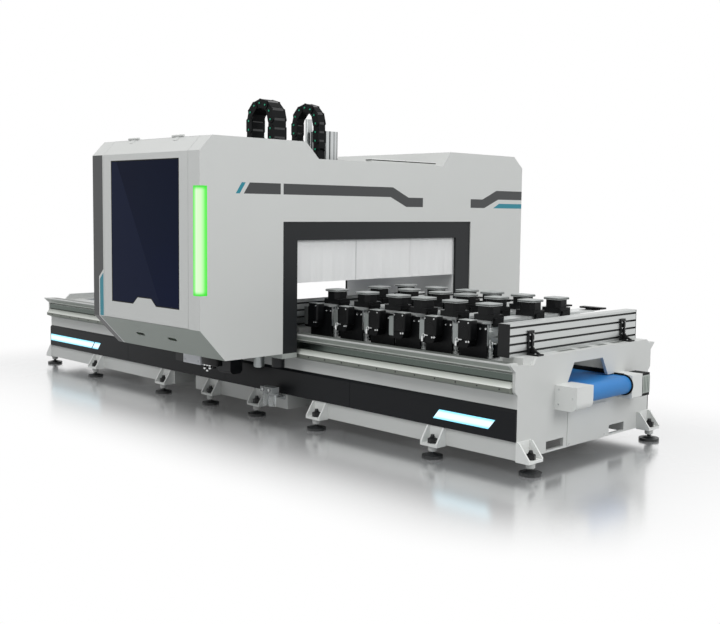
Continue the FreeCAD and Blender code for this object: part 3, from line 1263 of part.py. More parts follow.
def z_ram():
    """The hollow ram with its two rails, and the spindle housing under it."""
    back = RAM_FRONT - RAM_DEPTH
    half = RAM_WIDTH / 2
    ram = box(back, RAM_FRONT, RAM_Y - half, RAM_Y + half, RAM_LOW, RAM_HIGH)
    wall = RAM_WALL
    ram = ram.cut(box(back + wall, RAM_FRONT - wall, RAM_Y - half + wall, RAM_Y + half - wall,
                      RAM_LOW + wall, RAM_HIGH + OVER))
    solids = [ram]
    for sign in (-1, 1):
        y = RAM_Y + sign * RAM_RAIL_PITCH / 2
        solids.append(box(back - RAM_RAIL_DEPTH, back, y - RAM_RAIL / 2, y + RAM_RAIL / 2, RAM_LOW, RAM_HIGH))
    body_low = SPINDLE_LOW + SPINDLE_NOSE_HEIGHT
    body = rod((SPINDLE_X, RAM_Y, body_low), (0, 0, 1), SPINDLE_RADIUS, RAM_LOW - body_low)
    nose = rod((SPINDLE_X, RAM_Y, SPINDLE_LOW), (0, 0, 1), SPINDLE_NOSE, SPINDLE_NOSE_HEIGHT)
    bore = rod((SPINDLE_X, RAM_Y, SPINDLE_LOW - OVER), (0, 0, 1), SPINDLE_BORE, SPINDLE_BORE_DEPTH + OVER)
    solids.append(joined([body, nose]).cut(bore))
    return solids


def spindle_shaft():
    """Shaft end, tool holder, chuck and cutter turning together."""
    flange_top = SPINDLE_LOW - FACE_GAP
    flange_low = flange_top - HOLDER_FLANGE
    chuck_low = flange_low - CHUCK_LENGTH
    shaft_top = SPINDLE_LOW + SPINDLE_BORE_DEPTH - FACE_GAP
    axis = (0, 0, 1)
    shaft = rod((SPINDLE_X, RAM_Y, flange_top), axis, SPINDLE_BORE - RUNNING_GAP, shaft_top - flange_top)
    flange = rod((SPINDLE_X, RAM_Y, flange_low), axis, HOLDER_RADIUS, HOLDER_FLANGE)
    chuck = rod((SPINDLE_X, RAM_Y, chuck_low), axis, CHUCK_RADIUS, CHUCK_LENGTH)
    cutter = rod((SPINDLE_X, RAM_Y, TOOL_TIP), axis, CUTTER_RADIUS, chuck_low - TOOL_TIP)
    return joined([shaft, flange, chuck, cutter])


# Energy chains

def chain_joints():
    """Pin places along one chain as (x, z) and the direction of each link."""
    radius = (CHAIN_RIGHT_X - CHAIN_LEFT_X - CHAIN_HEIGHT) / 2
    pitch = 2 * radius * math.sin(math.pi / 2 / CHAIN_ARC_LINKS)
    middle = (CHAIN_LEFT_X + CHAIN_RIGHT_X) / 2
    spring = CHAIN_TOP - CHAIN_HEIGHT / 2 - radius
    points = []
    for number in range(CHAIN_LEG_LINKS, 0, -1):
        points.append((middle - radius, spring - number * pitch))
    for number in range(CHAIN_ARC_LINKS + 1):
        angle = math.pi - number * math.pi / CHAIN_ARC_LINKS
        points.append((middle + radius * math.cos(angle), spring + radius * math.sin(angle)))
    for number in range(1, CHAIN_LEG_LINKS + 1):
        points.append((middle + radius, spring - number * pitch))
    return points


def link_outline(start, stop):
    """A link's side plate as an (x, z) outline with bevelled ends."""
    run = math.dist(start, stop)
    along = ((stop[0] - start[0]) / run, (stop[1] - start[1]) / run)
    half = CHAIN_HEIGHT / 2
    nose = CHAIN_NOSE
    flat = CHAIN_FLAT
    local = [(-nose, -flat), (-flat, -half), (run + flat, -half), (run + nose, -flat),
             (run + nose, flat), (run + flat, half), (-flat, half), (-nose, flat)]
    return [(start[0] + s * along[0] - t * along[1], start[1] + s * along[1] + t * along[0]) for s, t in local]


def chain_bar(start, stop, side, y0, y1):
    """A cross bar along one edge of a link, between its side plates."""
    run = math.dist(start, stop)
    along = ((stop[0] - start[0]) / run, (stop[1] - start[1]) / run)
    high = side * CHAIN_HEIGHT / 2
    low = high - side * CHAIN_BAR
    inset = (run - CHAIN_BAR_LENGTH) / 2
    local = [(inset, low), (run - inset, low), (run - inset, high), (inset, high)]
    outline = [(start[0] + s * along[0] - t * along[1], start[1] + s * along[1] + t * along[0]) for s, t in local]
    return prism_y(outline, y0, y1)


def energy_chain(band):
    """One chain of alternating outer and inner links over an arch, on two feet."""
    points = chain_joints()
    low_y, high_y = band
    inset = CHAIN_PLATE + CHAIN_PLATE_GAP
    pieces = []
    for number, (start, stop) in enumerate(zip(points[:-1], points[1:])):
        step = 0 if number % 2 == 0 else inset
        y0 = low_y + step
        y1 = high_y - step
        outline = link_outline(start, stop)
        pieces.append(prism_y(outline, y0, y0 + CHAIN_PLATE))
        pieces.append(prism_y(outline, y1 - CHAIN_PLATE, y1))
        for side in (-1, 1):
            pieces.append(chain_bar(start, stop, side, y0 + CHAIN_PLATE, y1 - CHAIN_PLATE))
    for x, z in points:
        outline = ring(CHAIN_PIN_SIDES, CHAIN_PIN_RADIUS, x, z)
        pieces.append(prism_y(outline, low_y - CHAIN_PIN_HEAD, low_y + inset + CHAIN_PLATE))
        pieces.append(prism_y(outline, high_y - inset - CHAIN_PLATE, high_y + CHAIN_PIN_HEAD))
    foot_low = CARRIAGE_HIGH + TRAY_THICK
    for x, z in (points[0], points[-1]):
        pieces.append(box(x - CHAIN_FOOT, x + CHAIN_FOOT, low_y, high_y, foot_low, z - CHAIN_PIN_RADIUS))
    return joined(pieces)


def energy_chains():
    return [energy_chain(band) for band in CHAIN_BANDS]


# Drive unit under the gantry, and the air unit on the bed

def gantry_drive():
    """Drive box and motor under the operator's leg, and a small cabinet under the cabin."""
    half = DRIVE_BOX / 2
    drive = box(DRIVE_X - half, DRIVE_X + half, -DRIVE_Y - DRIVE_REACH, -DRIVE_Y + DRIVE_REACH, DRIVE_LOW, LEG_LOW)
    drive = drive.makeChamfer(DRIVE_BEVEL, [e for e in edges_along(drive, (1, 0, 0)) if e.CenterOfMass.z < LEG_LOW - half])
    motor = rod((DRIVE_MOTOR_X, -DRIVE_Y, DRIVE_MOTOR_LOW), (0, 0, 1), DRIVE_MOTOR_RADIUS, LEG_LOW - DRIVE_MOTOR_LOW)
    cabinet = box(DRIVE_CABINET_X - DRIVE_CABINET_LENGTH / 2, DRIVE_CABINET_X + DRIVE_CABINET_LENGTH / 2,
                  -DRIVE_CABINET_Y - DRIVE_CABINET_DEPTH / 2, -DRIVE_CABINET_Y + DRIVE_CABINET_DEPTH / 2,
                  DRIVE_CABINET_LOW, CABIN_LOW)
    return [drive, motor, cabinet]


def air_unit():
    """Two clear-bowl air filters on a bracket at the bed side."""
    wall_y = -SIDE_Y
    riser = wall_y - AIR_OUT
    half = AIR_PITCH / 2 + AIR_HEAD_WIDTH / 2
    shelf = box(AIR_X - half, AIR_X + half, riser, wall_y, AIR_SHELF, AIR_SHELF + AIR_BRACKET)
    back = box(AIR_X - half, AIR_X + half, wall_y - AIR_BRACKET, wall_y, AIR_SHELF - AIR_BOWL_RADIUS, AIR_SHELF)
    upright = box(AIR_X - half, AIR_X + half, riser - AIR_BRACKET, riser, AIR_SHELF, AIR_TOP)
    solids = [joined([shelf, back, upright])]
    front = riser - AIR_BRACKET
    middle = front - AIR_HEAD_WIDTH / 2
    for sign in (-1, 1):
        x = AIR_X + sign * AIR_PITCH / 2
        head = box(x - AIR_HEAD_WIDTH / 2, x + AIR_HEAD_WIDTH / 2, front - AIR_HEAD_WIDTH, front,
                   AIR_TOP - AIR_HEAD_HEIGHT, AIR_TOP)
        low = AIR_TOP - AIR_HEAD_HEIGHT - AIR_BOWL_LENGTH
        bowl = rod((x, middle, low), (0, 0, 1), AIR_BOWL_RADIUS, AIR_BOWL_LENGTH)
        solids.append(joined([head, bowl]))
    return solids


save("bed_frame", bed_frame())
save("end_plates", end_plates())
save("guide_rails", guide_rails())
save("side_covers", side_covers())
save("side_lights", side_lights())
save("foot_brackets", foot_brackets())
save("levelling_feet", levelling_feet())
save("conveyor_deck", [conveyor_deck()])
save("conveyor_belt", [conveyor_belt()])
save("conveyor_housing", conveyor_housing())
save("conveyor_motor", [conveyor_motor()])
save("drive_roller", [roller(DRIVE_ROLLER_X, -DRIVE_SHAFT_FRONT_Y, DRIVE_SHAFT_REAR_Y)])
save("tail_roller", [roller(TAIL_ROLLER_X, -DECK_OUTER_Y - TAIL_SHAFT_REACH, DECK_OUTER_Y + TAIL_SHAFT_REACH)])
save("end_fences", [end_fence(face) for face in FENCE_FACES])
save("fence_fittings", fence_fittings())
for console_number, console_place in enumerate(CONSOLE_PLACES, 1):
    save("console_%d" % console_number, console(console_place))
    save("stop_pin_%d" % console_number, [stop_pin(console_place)])
    for pod_number, pod_row in enumerate(POD_ROWS, 1):
        save("pod_%d_%d" % (console_number, pod_number), pod(console_place, pod_row))
save("portal_frame", portal_frame())
save("front_housing", [front_housing()])
save("header_cover", header_cover())
save("rear_housing", [rear_housing()])
save("front_door", [front_door()])
save("door_glass", [door_glass()])
save("status_light", [status_light()])
save("strip_curtains", strip_curtains())
save("cross_beam", cross_beam())
save("y_carriage", [y_carriage()])
save("z_ram", z_ram())
save("spindle_shaft", [spindle_shaft()])
save("energy_chains", energy_chains())
save("gantry_drive", gantry_drive())
save("air_unit", air_unit())
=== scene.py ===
import math
import bpy
from mathutils import Matrix, Vector


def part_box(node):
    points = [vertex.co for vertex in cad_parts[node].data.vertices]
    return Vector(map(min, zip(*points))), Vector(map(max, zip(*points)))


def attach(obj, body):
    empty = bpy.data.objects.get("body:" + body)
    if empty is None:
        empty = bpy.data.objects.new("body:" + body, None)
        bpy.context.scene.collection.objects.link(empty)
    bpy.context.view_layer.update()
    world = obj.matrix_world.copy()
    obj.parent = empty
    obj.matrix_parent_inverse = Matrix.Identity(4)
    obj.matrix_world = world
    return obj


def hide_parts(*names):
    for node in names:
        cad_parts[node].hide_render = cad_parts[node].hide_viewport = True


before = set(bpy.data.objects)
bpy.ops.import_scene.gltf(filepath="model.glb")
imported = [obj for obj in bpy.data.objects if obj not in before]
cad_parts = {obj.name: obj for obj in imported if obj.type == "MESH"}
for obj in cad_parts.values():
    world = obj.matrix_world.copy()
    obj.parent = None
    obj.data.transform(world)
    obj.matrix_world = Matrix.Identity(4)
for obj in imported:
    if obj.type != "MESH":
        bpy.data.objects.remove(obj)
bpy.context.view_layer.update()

print("frame loaded")


# camera and studio

view = {
    "place": (7.4796, -6.6194, 1.8451),
    "yaw": 0.785,  # turned from +Y towards -X
    "pitch": 0.085,  # looking down
    "roll": 0.012,
    "lens": 50.6,
    "shift": (-0.0092, -0.0232),
}


def addCamera():
    yaw, pitch, roll = view["yaw"], view["pitch"], view["roll"]
    forward = Vector((-math.sin(yaw) * math.cos(pitch), math.cos(yaw) * math.cos(pitch), -math.sin(pitch)))
    side = Vector((math.cos(yaw), math.sin(yaw), 0))
    above = side.cross(forward)
    right = side * math.cos(roll) + above * math.sin(roll)
    up = above * math.cos(roll) - side * math.sin(roll)
    camera = bpy.data.objects.new("camera", bpy.data.cameras.new("camera"))
    camera.data.lens = view["lens"]
    camera.data.sensor_width = 36
    camera.data.shift_x, camera.data.shift_y = view["shift"]
    camera.data.clip_end = 200
    turn = Matrix((right, up, -forward)).transposed().to_4x4()
    camera.matrix_world = Matrix.Translation(view["place"]) @ turn
    bpy.context.scene.collection.objects.link(camera)
    bpy.context.scene.camera = camera


def toLinear(hexCode):
    parts = [int(hexCode[k:k + 2], 16) / 255 for k in (0, 2, 4)]
    return [c / 12.92 if c <= 0.04045 else ((c + 0.055) / 1.055) ** 2.4 for c in parts] + [1.0]


def addNode(tree, kind, inputs=None, **settings):
    node = tree.nodes.new("ShaderNode" + kind)
    for key, value in settings.items():
        setattr(node, key, value)
    for key, value in (inputs or {}).items():
        if isinstance(value, bpy.types.NodeSocket):
            tree.links.new(value, node.inputs[key])
        else:
            node.inputs[key].default_value = value
    return node


studio = {
    "worldGlow": 0.50,
    "keyPower": 900,
    "keySize": 9.0,
    "keyPlace": (3.5, -9.0, 13.0),
    "endPower": 620,
    "endSize": 8.0,
    "endPlace": (13.0, 1.0, 7.5),
    "floorHex": "A8AAAC",
    "floorSide": 90.0,
    "floorRough": (0.22, 0.34),
    "mirrorRough": 0.17,
    "floorMirror": 0.72,  # share of the near floor that mirrors what stands on it
    "floorGlow": 0.04,  # share of the near floor that is plain white to the camera
    "footprint": (3.45, 0.95, 0.0),  # half sizes of the bed
    "fadeStart": 0.1,  # from the bed's edge
    "fadeStop": 1.75,
}


def addLight(name, place, power, size):
    lamp = bpy.data.lights.new(name, "AREA")
    lamp.energy = power
    lamp.size = size
    lamp.shape = "DISK"
    light = bpy.data.objects.new(name, lamp)
    light.location = place
    aim = Vector((0, 0, 1)) - Vector(place)
    light.rotation_euler = aim.to_track_quat("-Z", "Y").to_euler()
    bpy.context.scene.collection.objects.link(light)


def directView(tree, path):
    # 1 for rays that show the background itself: to the camera, through glass or off a polished face
    seen = addNode(tree, "Math", {0: path.outputs["Is Camera Ray"], 1: path.outputs["Is Transmission Ray"]},
                   operation="MAXIMUM")
    return addNode(tree, "Math", {0: seen.outputs[0], 1: path.outputs["Is Glossy Ray"]},
                   operation="MAXIMUM").outputs[0]


def addStudio():
    world = bpy.data.worlds.new("studio")
    world.use_nodes = True
    tree = world.node_tree
    tree.nodes.clear()
    path = addNode(tree, "LightPath")
    seen = directView(tree, path)
    strength = addNode(tree, "MapRange", {"Value": seen, "To Min": studio["worldGlow"], "To Max": 1.0})
    glow = addNode(tree, "Background", {"Color": (1, 1, 1, 1), "Strength": strength.outputs[0]})
    addNode(tree, "OutputWorld", {"Surface": glow.outputs[0]})
    bpy.context.scene.world = world
    bpy.context.scene.view_settings.view_transform = "Standard"
    addLight("keyLight", studio["keyPlace"], studio["keyPower"], studio["keySize"])
    addLight("endLight", studio["endPlace"], studio["endPower"], studio["endSize"])
    bpy.ops.mesh.primitive_plane_add(size=studio["floorSide"], location=(0, 0, 0))
    floor = bpy.context.object
    floor.name = "floor"
    # painted and sealed concrete: even, pale and half glossy, so that it takes soft shadows
    material = bpy.data.materials.new("paintedConcreteSealed")
    material.use_nodes = True
    tree = material.node_tree
    tree.nodes.clear()
    place = addNode(tree, "TexCoord").outputs["Object"]
    cloud = addNode(tree, "TexNoise", {"Vector": place, "Scale": 0.8, "Detail": 3.0})
    low, high = studio["floorRough"]
    rough = addNode(tree, "MapRange", {"Value": cloud.outputs["Fac"], "To Min": low, "To Max": high})
    shader = addNode(tree, "BsdfPrincipled", {"Base Color": toLinear(studio["floorHex"]),
                                              "Roughness": rough.outputs[0]})
    mirror = addNode(tree, "BsdfGlossy", {"Color": (1, 1, 1, 1), "Roughness": studio["mirrorRough"]})
    glow = addNode(tree, "Emission", {"Color": (1, 1, 1, 1), "Strength": 1.0})
    away = addNode(tree, "VectorMath", {0: place}, operation="ABSOLUTE")
    away = addNode(tree, "VectorMath", {0: away.outputs[0], 1: studio["footprint"]}, operation="SUBTRACT")
    away = addNode(tree, "VectorMath", {0: away.outputs[0], 1: (0.0, 0.0, 0.0)}, operation="MAXIMUM")
    away = addNode(tree, "VectorMath", {0: away.outputs[0]}, operation="LENGTH")
    fade = addNode(tree, "MapRange", {"Value": away.outputs["Value"], "From Min": studio["fadeStart"],
                                      "From Max": studio["fadeStop"]}, interpolation_type="SMOOTHSTEP")
    seen = directView(tree, addNode(tree, "LightPath"))
    sheen = addNode(tree, "Math", {0: seen, 1: studio["floorMirror"]}, operation="MULTIPLY")
    polished = addNode(tree, "MixShader", {0: sheen.outputs[0], 1: shader.outputs[0], 2: mirror.outputs[0]})
    share = addNode(tree, "MapRange", {"Value": fade.outputs[0], "To Min": studio["floorGlow"],
                                       "To Max": 1.0})
    share = addNode(tree, "Math", {0: seen, 1: share.outputs[0]}, operation="MULTIPLY")
    mixed = addNode(tree, "MixShader", {0: share.outputs[0], 1: polished.outputs[0], 2: glow.outputs[0]})
    addNode(tree, "OutputMaterial", {"Surface": mixed.outputs[0]})
    floor.data.materials.append(material)


addCamera()
addStudio()
print("camera and studio set")


# finishes

def startMaterial(name):
    material = bpy.data.materials.new(name)
    material.use_nodes = True
    tree = material.node_tree
    tree.nodes.clear()
    shader = addNode(tree, "BsdfPrincipled")
    addNode(tree, "OutputMaterial", {"Surface": shader.outputs[0]})
    place = addNode(tree, "TexCoord").outputs["Object"]
    return material, tree, shader, place


def insidePlanes(tree, place, planes):
    # 1 where a point lies below every plane, each a normal and its reach
    mask = None
    for normal, reach in planes:
        along = addNode(tree, "VectorMath", {0: place, 1: normal}, operation="DOT_PRODUCT")
        side = addNode(tree, "Math", {0: along.outputs["Value"], 1: reach}, operation="LESS_THAN")
        if mask is None:
            mask = side.outputs[0]
        else:
            mask = addNode(tree, "Math", {0: mask, 1: side.outputs[0]}, operation="MULTIPLY").outputs[0]
    return mask


def eitherMask(tree, masks):
    whole = masks[0]
    for mask in masks[1:]:
        whole = addNode(tree, "Math", {0: whole, 1: mask}, operation="MAXIMUM").outputs[0]
    return whole


def areaMask(tree, place, areas):
    # 1 inside any of the areas, each a list of planes
    return eitherMask(tree, [insidePlanes(tree, place, area) for area in areas])


def boxPlanes(x=None, y=None, z=None):
    planes = []
    for axis, span in enumerate((x, y, z)):
        if span:
            unit = [0.0, 0.0, 0.0]
            unit[axis] = 1.0
            planes.append((tuple(unit), span[1]))
            planes.append((tuple(-u for u in unit), -span[0]))
    return planes


def polygonPlanes(axes, corners):
    # planes of a convex outline in two of the axes, corners in order
    first, second = axes
    middle = (sum(c[0] for c in corners) / len(corners), sum(c[1] for c in corners) / len(corners))
    planes = []
    for (a0, b0), (a1, b1) in zip(corners, corners[1:] + corners[:1]):
        across = (b1 - b0, a0 - a1)
        reach = across[0] * a0 + across[1] * b0
        if across[0] * middle[0] + across[1] * middle[1] > reach:
            across = (-across[0], -across[1])
            reach = -reach
        normal = [0.0, 0.0, 0.0]
        normal[first], normal[second] = across
        planes.append((tuple(normal), reach))
    return planes


def paintOver(tree, under, hexCode, mask):
    return addNode(tree, "Mix", {0: mask, 6: under, 7: toLinear(hexCode)}, data_type="RGBA").outputs[2]


def coatedSurface(tree, shader, place, hexCode, spread=0.04, cloudMm=420, grainMm=5, bump=0.05,
                  low=0.32, high=0.42, gloss=0.5):
    # a cloudy tone over the colour, a fine grain in the relief and patches of different gloss;
    # the grain is a few millimetres wide, coarser than a real coat's, so that it shows from this far
    base = toLinear(hexCode)
    dark = [c * (1 - spread) for c in base[:3]] + [1.0]
    light = [min(1.0, c * (1 + spread)) for c in base[:3]] + [1.0]
    cloud = addNode(tree, "TexNoise", {"Vector": place, "Scale": 1000 / cloudMm, "Detail": 4.0})
    tone = addNode(tree, "Mix", {0: cloud.outputs["Fac"], 6: dark, 7: light}, data_type="RGBA")
    grain = addNode(tree, "TexNoise", {"Vector": place, "Scale": 1000 / grainMm, "Detail": 2.0})
    relief = addNode(tree, "Bump", {"Strength": bump, "Distance": 0.002, "Height": grain.outputs["Fac"]})
    worn = addNode(tree, "MapRange", {"Value": cloud.outputs["Fac"], "To Min": low, "To Max": high})
    shader.inputs["Specular IOR Level"].default_value = gloss
    tree.links.new(worn.outputs[0], shader.inputs["Roughness"])
    tree.links.new(relief.outputs[0], shader.inputs["Normal"])
    return tone.outputs[2]


def plainPaint(name, hexCode, painted=(), **keys):
    # one coat, with other colours over the areas that are given
    material, tree, shader, place = startMaterial(name)
    colour = coatedSurface(tree, shader, place, hexCode, **keys)
    for overHex, areas in painted:
        colour = paintOver(tree, colour, overHex, areaMask(tree, place, areas))
    tree.links.new(colour, shader.inputs["Base Color"])
    return material


def metalSurface(name, hexCode, low, high, stretch=(1.0, 1.0, 1.0), grainMm=3, bump=0.04, painted=()):
    # bare metal with fine lines along one axis, where stretch is small, and darker tones over given areas;
    # the lines are coarser than real ones, so that they show from this far
    material, tree, shader, place = startMaterial(name)
    lines = addNode(tree, "Mapping", {"Vector": place, "Scale": stretch})
    grain = addNode(tree, "TexNoise", {"Vector": lines.outputs[0], "Scale": 1000 / grainMm, "Detail": 3.0})
    base = toLinear(hexCode)
    dark = [c * 0.86 for c in base[:3]] + [1.0]
    colour = addNode(tree, "Mix", {0: grain.outputs["Fac"], 6: dark, 7: base}, data_type="RGBA").outputs[2]
    for overHex, areas in painted:
        colour = paintOver(tree, colour, overHex, areaMask(tree, place, areas))
    gloss = addNode(tree, "MapRange", {"Value": grain.outputs["Fac"], "To Min": low, "To Max": high})
    relief = addNode(tree, "Bump", {"Strength": bump, "Distance": 0.001, "Height": grain.outputs["Fac"]})
    tree.links.new(colour, shader.inputs["Base Color"])
    tree.links.new(gloss.outputs[0], shader.inputs["Roughness"])
    tree.links.new(relief.outputs[0], shader.inputs["Normal"])
    shader.inputs["Metallic"].default_value = 1.0
    return material


def dress(names, material):
    for name in names:
        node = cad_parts[name]
        node.data.materials.clear()
        node.data.materials.append(material)


paintColours = {
    "cabinGrey": "D2D4D2",
    "bedGrey": "CDCFCD",
    "bandGrey": "353738",
    "teal": "0C8496",
    "lineWhite": "E6E8E7",
    # painted shade for the bevel under the door, which faces the floor
    "bevelShadeGrey": "838E85",
    "coverDark": "131518",
    "portalDark": "1F2123",
}

# stripes across the gantry's faces: places along Y, and heights from the lower to the upper edge
stripes = {
    "seam": -1.209,
    "bandHigh": (1.956, 2.045),
    "bandLow": (1.869, 1.955),
    "slant": 0.03,  # how far a slanted band's lower edge lies before its upper one
    "frontEnd": (-1.62, -1.56),
    "gap": 0.03,  # between the cabin's piece of the band and the header's
    "dropStart": 0.093,
    "dropStop": 0.303,
    "lowEnd": 0.503,
    "rearStart": 1.208,
    "riseStart": 1.426,
    "riseStop": 1.618,
    "rearEnd": 2.045,
    "tealStart": (1.567, 1.665),
    "tealRise": (1.868, 1.915),
    "flash": ((-1.70, -1.66), (-1.64, -1.60)),  # teal mark before the band, at its lower and upper edge
}

# the strip down the cabin's front left corner, places along X, and the bevel under the door
cornerStrip = {
    "left": -0.60,
    "narrow": -0.3885,
    "line": -0.376,
    "wide": -0.316,
    "frontFace": -2.02,
    "shoulder": 2.278,
    "top": 2.30,
    "step": (1.235, 1.30),  # the strip widens between these heights
    "lineTop": 1.30,
    "inlay": (0.897, 1.212, 1.272),
    "bevelNormal": (0.0, -0.7284, -0.6852),
    "bevelEdge": (-2.045, 0.892),
    "bevelTop": 0.90,
    "bevelSheet": ((-0.4770, 1.0960), (0.60, 0.8915)),
    "skinDepth": 0.02,  # how far behind the bevel's plane the strip's colours go
    "bevelDepth": 0.004,
}


def stripeAreas():
    s = stripes
    high, low, slant = s["bandHigh"], s["bandLow"], s["slant"]
    frontEnd = s["seam"] - s["gap"]
    return [
        polygonPlanes((1, 2), [(s["seam"], high[0]), (s["dropStart"] - slant, high[0]),
                               (s["dropStart"], high[1]), (s["seam"], high[1])]),
        polygonPlanes((1, 2), [(s["dropStart"] - slant, high[0]), (s["dropStop"] - slant, low[0]),
                               (s["dropStop"], low[1]), (s["dropStart"], high[1])]),
        boxPlanes(y=(s["dropStop"] - slant, s["lowEnd"]), z=low),
        boxPlanes(y=(s["rearStart"], s["riseStart"]), z=low),
        polygonPlanes((1, 2), [(s["riseStart"] - slant, low[1]), (s["riseStart"], low[0]),
                               (s["riseStop"] + slant, high[0]), (s["riseStop"], high[1])]),
        boxPlanes(y=(s["riseStop"], s["rearEnd"]), z=high),
        polygonPlanes((1, 2), [(s["frontEnd"][0], high[0]), (frontEnd, high[0]),
                               (frontEnd, high[1]), (s["frontEnd"][1], high[1])]),
    ]


def tealAreas():
    s = stripes
    (low, high), (flashLow, flashHigh), band = s["tealRise"], s["flash"], s["bandHigh"]
    return [
        polygonPlanes((1, 2), [(s["tealStart"][0], low), (s["rearEnd"], low),
                               (s["rearEnd"], high), (s["tealStart"][1], high)]),
        polygonPlanes((1, 2), [(flashLow[0], band[0]), (flashLow[1], band[0]),
                               (flashHigh[1], band[1]), (flashHigh[0], band[1])]),
    ]


def cabinPaint():
    # powder coated sheet steel: satin, faint grain, with masked stripes on both faces and the front corner,
    # and painted shade on the bevel under the door, which faces the floor
    material, tree, shader, place = startMaterial("powderCoatedCabinSheet")
    colour = coatedSurface(tree, shader, place, paintColours["cabinGrey"], spread=0.015, low=0.30, high=0.38)
    colour = paintOver(tree, colour, paintColours["bandGrey"], areaMask(tree, place, stripeAreas()))
    colour = paintOver(tree, colour, paintColours["teal"], areaMask(tree, place, tealAreas()))
    c = cornerStrip
    outward = c["bevelNormal"]
    inward = tuple(-n for n in outward)
    reach = outward[1] * c["bevelEdge"][0] + outward[2] * c["bevelEdge"][1]
    up = (0.0, 0.0, 1.0)
    skin = areaMask(tree, place, [
        [((0.0, 1.0, 0.0), c["frontFace"]), (up, c["shoulder"])],
        [(inward, c["skinDepth"] - reach), (up, c["bevelTop"])],
    ])
    spanX, spanZ = c["bevelSheet"]
    bevel = insidePlanes(tree, place, [(inward, c["bevelDepth"] - reach)] + boxPlanes(x=spanX, z=spanZ))
    # painted shade: the bevel under the door faces the floor and is painted darker
    colour = paintOver(tree, colour, paintColours["bevelShadeGrey"], bevel)
    # a white line, then the dark strip over it, then the teal inlay
    left, narrow, wide, top = c["left"], c["narrow"], c["wide"], c["top"]
    low, inner, outer = c["inlay"]
    line = [boxPlanes(x=(left, c["line"]), z=(0.0, c["lineTop"]))]
    strip = [
        boxPlanes(x=(left, narrow)),
        polygonPlanes((0, 2), [(left, c["step"][0]), (narrow, c["step"][0]), (wide, c["step"][1]),
                               (wide, top), (left, top)]),
    ]
    inlay = [polygonPlanes((0, 2), [(c["line"], low), (wide, low), (wide, outer), (c["line"], inner)])]
    for colourName, areas in (("lineWhite", line), ("bandGrey", strip), ("teal", inlay)):
        mask = addNode(tree, "Math", {0: skin, 1: areaMask(tree, place, areas)},
                       operation="MULTIPLY").outputs[0]
        colour = paintOver(tree, colour, paintColours[colourName], mask)
    tree.links.new(colour, shader.inputs["Base Color"])
    return material


dress(["front_housing", "header_cover", "rear_housing", "front_door"], cabinPaint())

bedMarks = {
    "flankMetalAndShade": ((-1.04, -0.962), (0.844, 0.922)),  # both walls, across the bed
    # heights of the flank and its tones at the lower and upper edge: grey for the bare ledges and rail seats,
    # with painted highlight where a face catches the light and painted shade under each lip
    "bands": (
        (0.4635, 0.575, "F2F4F0", "8F958C"),
        (0.575, 0.6165, "6E736B", "6E736B"),
        (0.6165, 0.6655, "ECEFE9", "7F857C"),
        (0.7275, 0.7395, "F2F5EF", "F2F5EF"),
        (0.7395, 0.7765, "A9AFA8", "A9AFA8"),
    ),
    # painted shade on the lips' tops, under the consoles' black plates
    "lipShade": ((-1.003, -0.90), (0.78, 0.885)),
    "lipSpan": (-3.25, 3.25),
    "lipTop": (0.7845, 0.79),
    "lipShadeHex": "6A6E6A",
    # painted shade: dark recesses on the end's top, between the fence and the end wall
    "slots": ((-0.373, -0.165), (-0.108, 0.060), (0.150, 0.280), (0.365, 0.520)),
    "slotSpan": (3.214, 3.262),
    "slotTop": (0.8132, 0.8148),
    "slotShadeHex": "5C605C",
}


def bedPaint():
    # powder coated fabricated steel, a little darker and cloudier than the cabin's sheet, greyer where it
    # faces the rails, with painted highlight and painted shade along the flanks there, painted shade on the
    # lip tops and in dark recesses on the end's top
    marks = bedMarks
    material, tree, shader, place = startMaterial("powderCoatedWeldedSteel")
    colour = coatedSurface(tree, shader, place, paintColours["bedGrey"], spread=0.03, low=0.34, high=0.46)
    height = addNode(tree, "SeparateXYZ", {0: place}).outputs["Z"]
    # painted highlight and painted shade on the flanks: each band runs from its lower tone to its upper one
    for low, high, lowHex, highHex in marks["bands"]:
        flankMetalAndShade = areaMask(tree, place, [boxPlanes(y=side, z=(low, high)) for side in marks["flankMetalAndShade"]])
        rise = addNode(tree, "MapRange", {"Value": height, "From Min": low, "From Max": high})
        tone = addNode(tree, "Mix", {0: rise.outputs[0], 6: toLinear(lowHex), 7: toLinear(highHex)},
                       data_type="RGBA")
        colour = addNode(tree, "Mix", {0: flankMetalAndShade, 6: colour, 7: tone.outputs[2]}, data_type="RGBA").outputs[2]
    lipShade = [boxPlanes(x=marks["lipSpan"], y=side, z=marks["lipTop"]) for side in marks["lipShade"]]
    slots = [boxPlanes(x=marks["slotSpan"], y=side, z=marks["slotTop"]) for side in marks["slots"]]
    # painted shade on the lip tops under the black plates
    colour = paintOver(tree, colour, marks["lipShadeHex"], areaMask(tree, place, lipShade))
    # painted shade as dark recesses on the end's top
    colour = paintOver(tree, colour, marks["slotShadeHex"], areaMask(tree, place, slots))
    tree.links.new(colour, shader.inputs["Base Color"])
    return material


dress(["bed_frame"], bedPaint())
# thick plate under the same satin coat as the bed, even in tone
dress(["end_plates"], plainPaint("powderCoatedWeldedPlate", paintColours["bedGrey"], spread=0.03, low=0.34,
                                 high=0.46))
# thin folded sheet, paler than the plate behind it
dress(["conveyor_housing"], plainPaint("powderCoatedFoldedHood", "DCDEDC", spread=0.03, low=0.34, high=0.46))
# laser cut plate, the palest of the bed's parts
dress(["foot_brackets"], plainPaint("powderCoatedLaserCutPlate", "E4E6E4", spread=0.03, low=0.34, high=0.46))
# satin dark powder coat, which shows the floor as a soft sheen
dress(["side_covers"], plainPaint("powderCoatedDarkSheet", paintColours["coverDark"], spread=0.10, low=0.34,
                                  high=0.46, gloss=0.15))

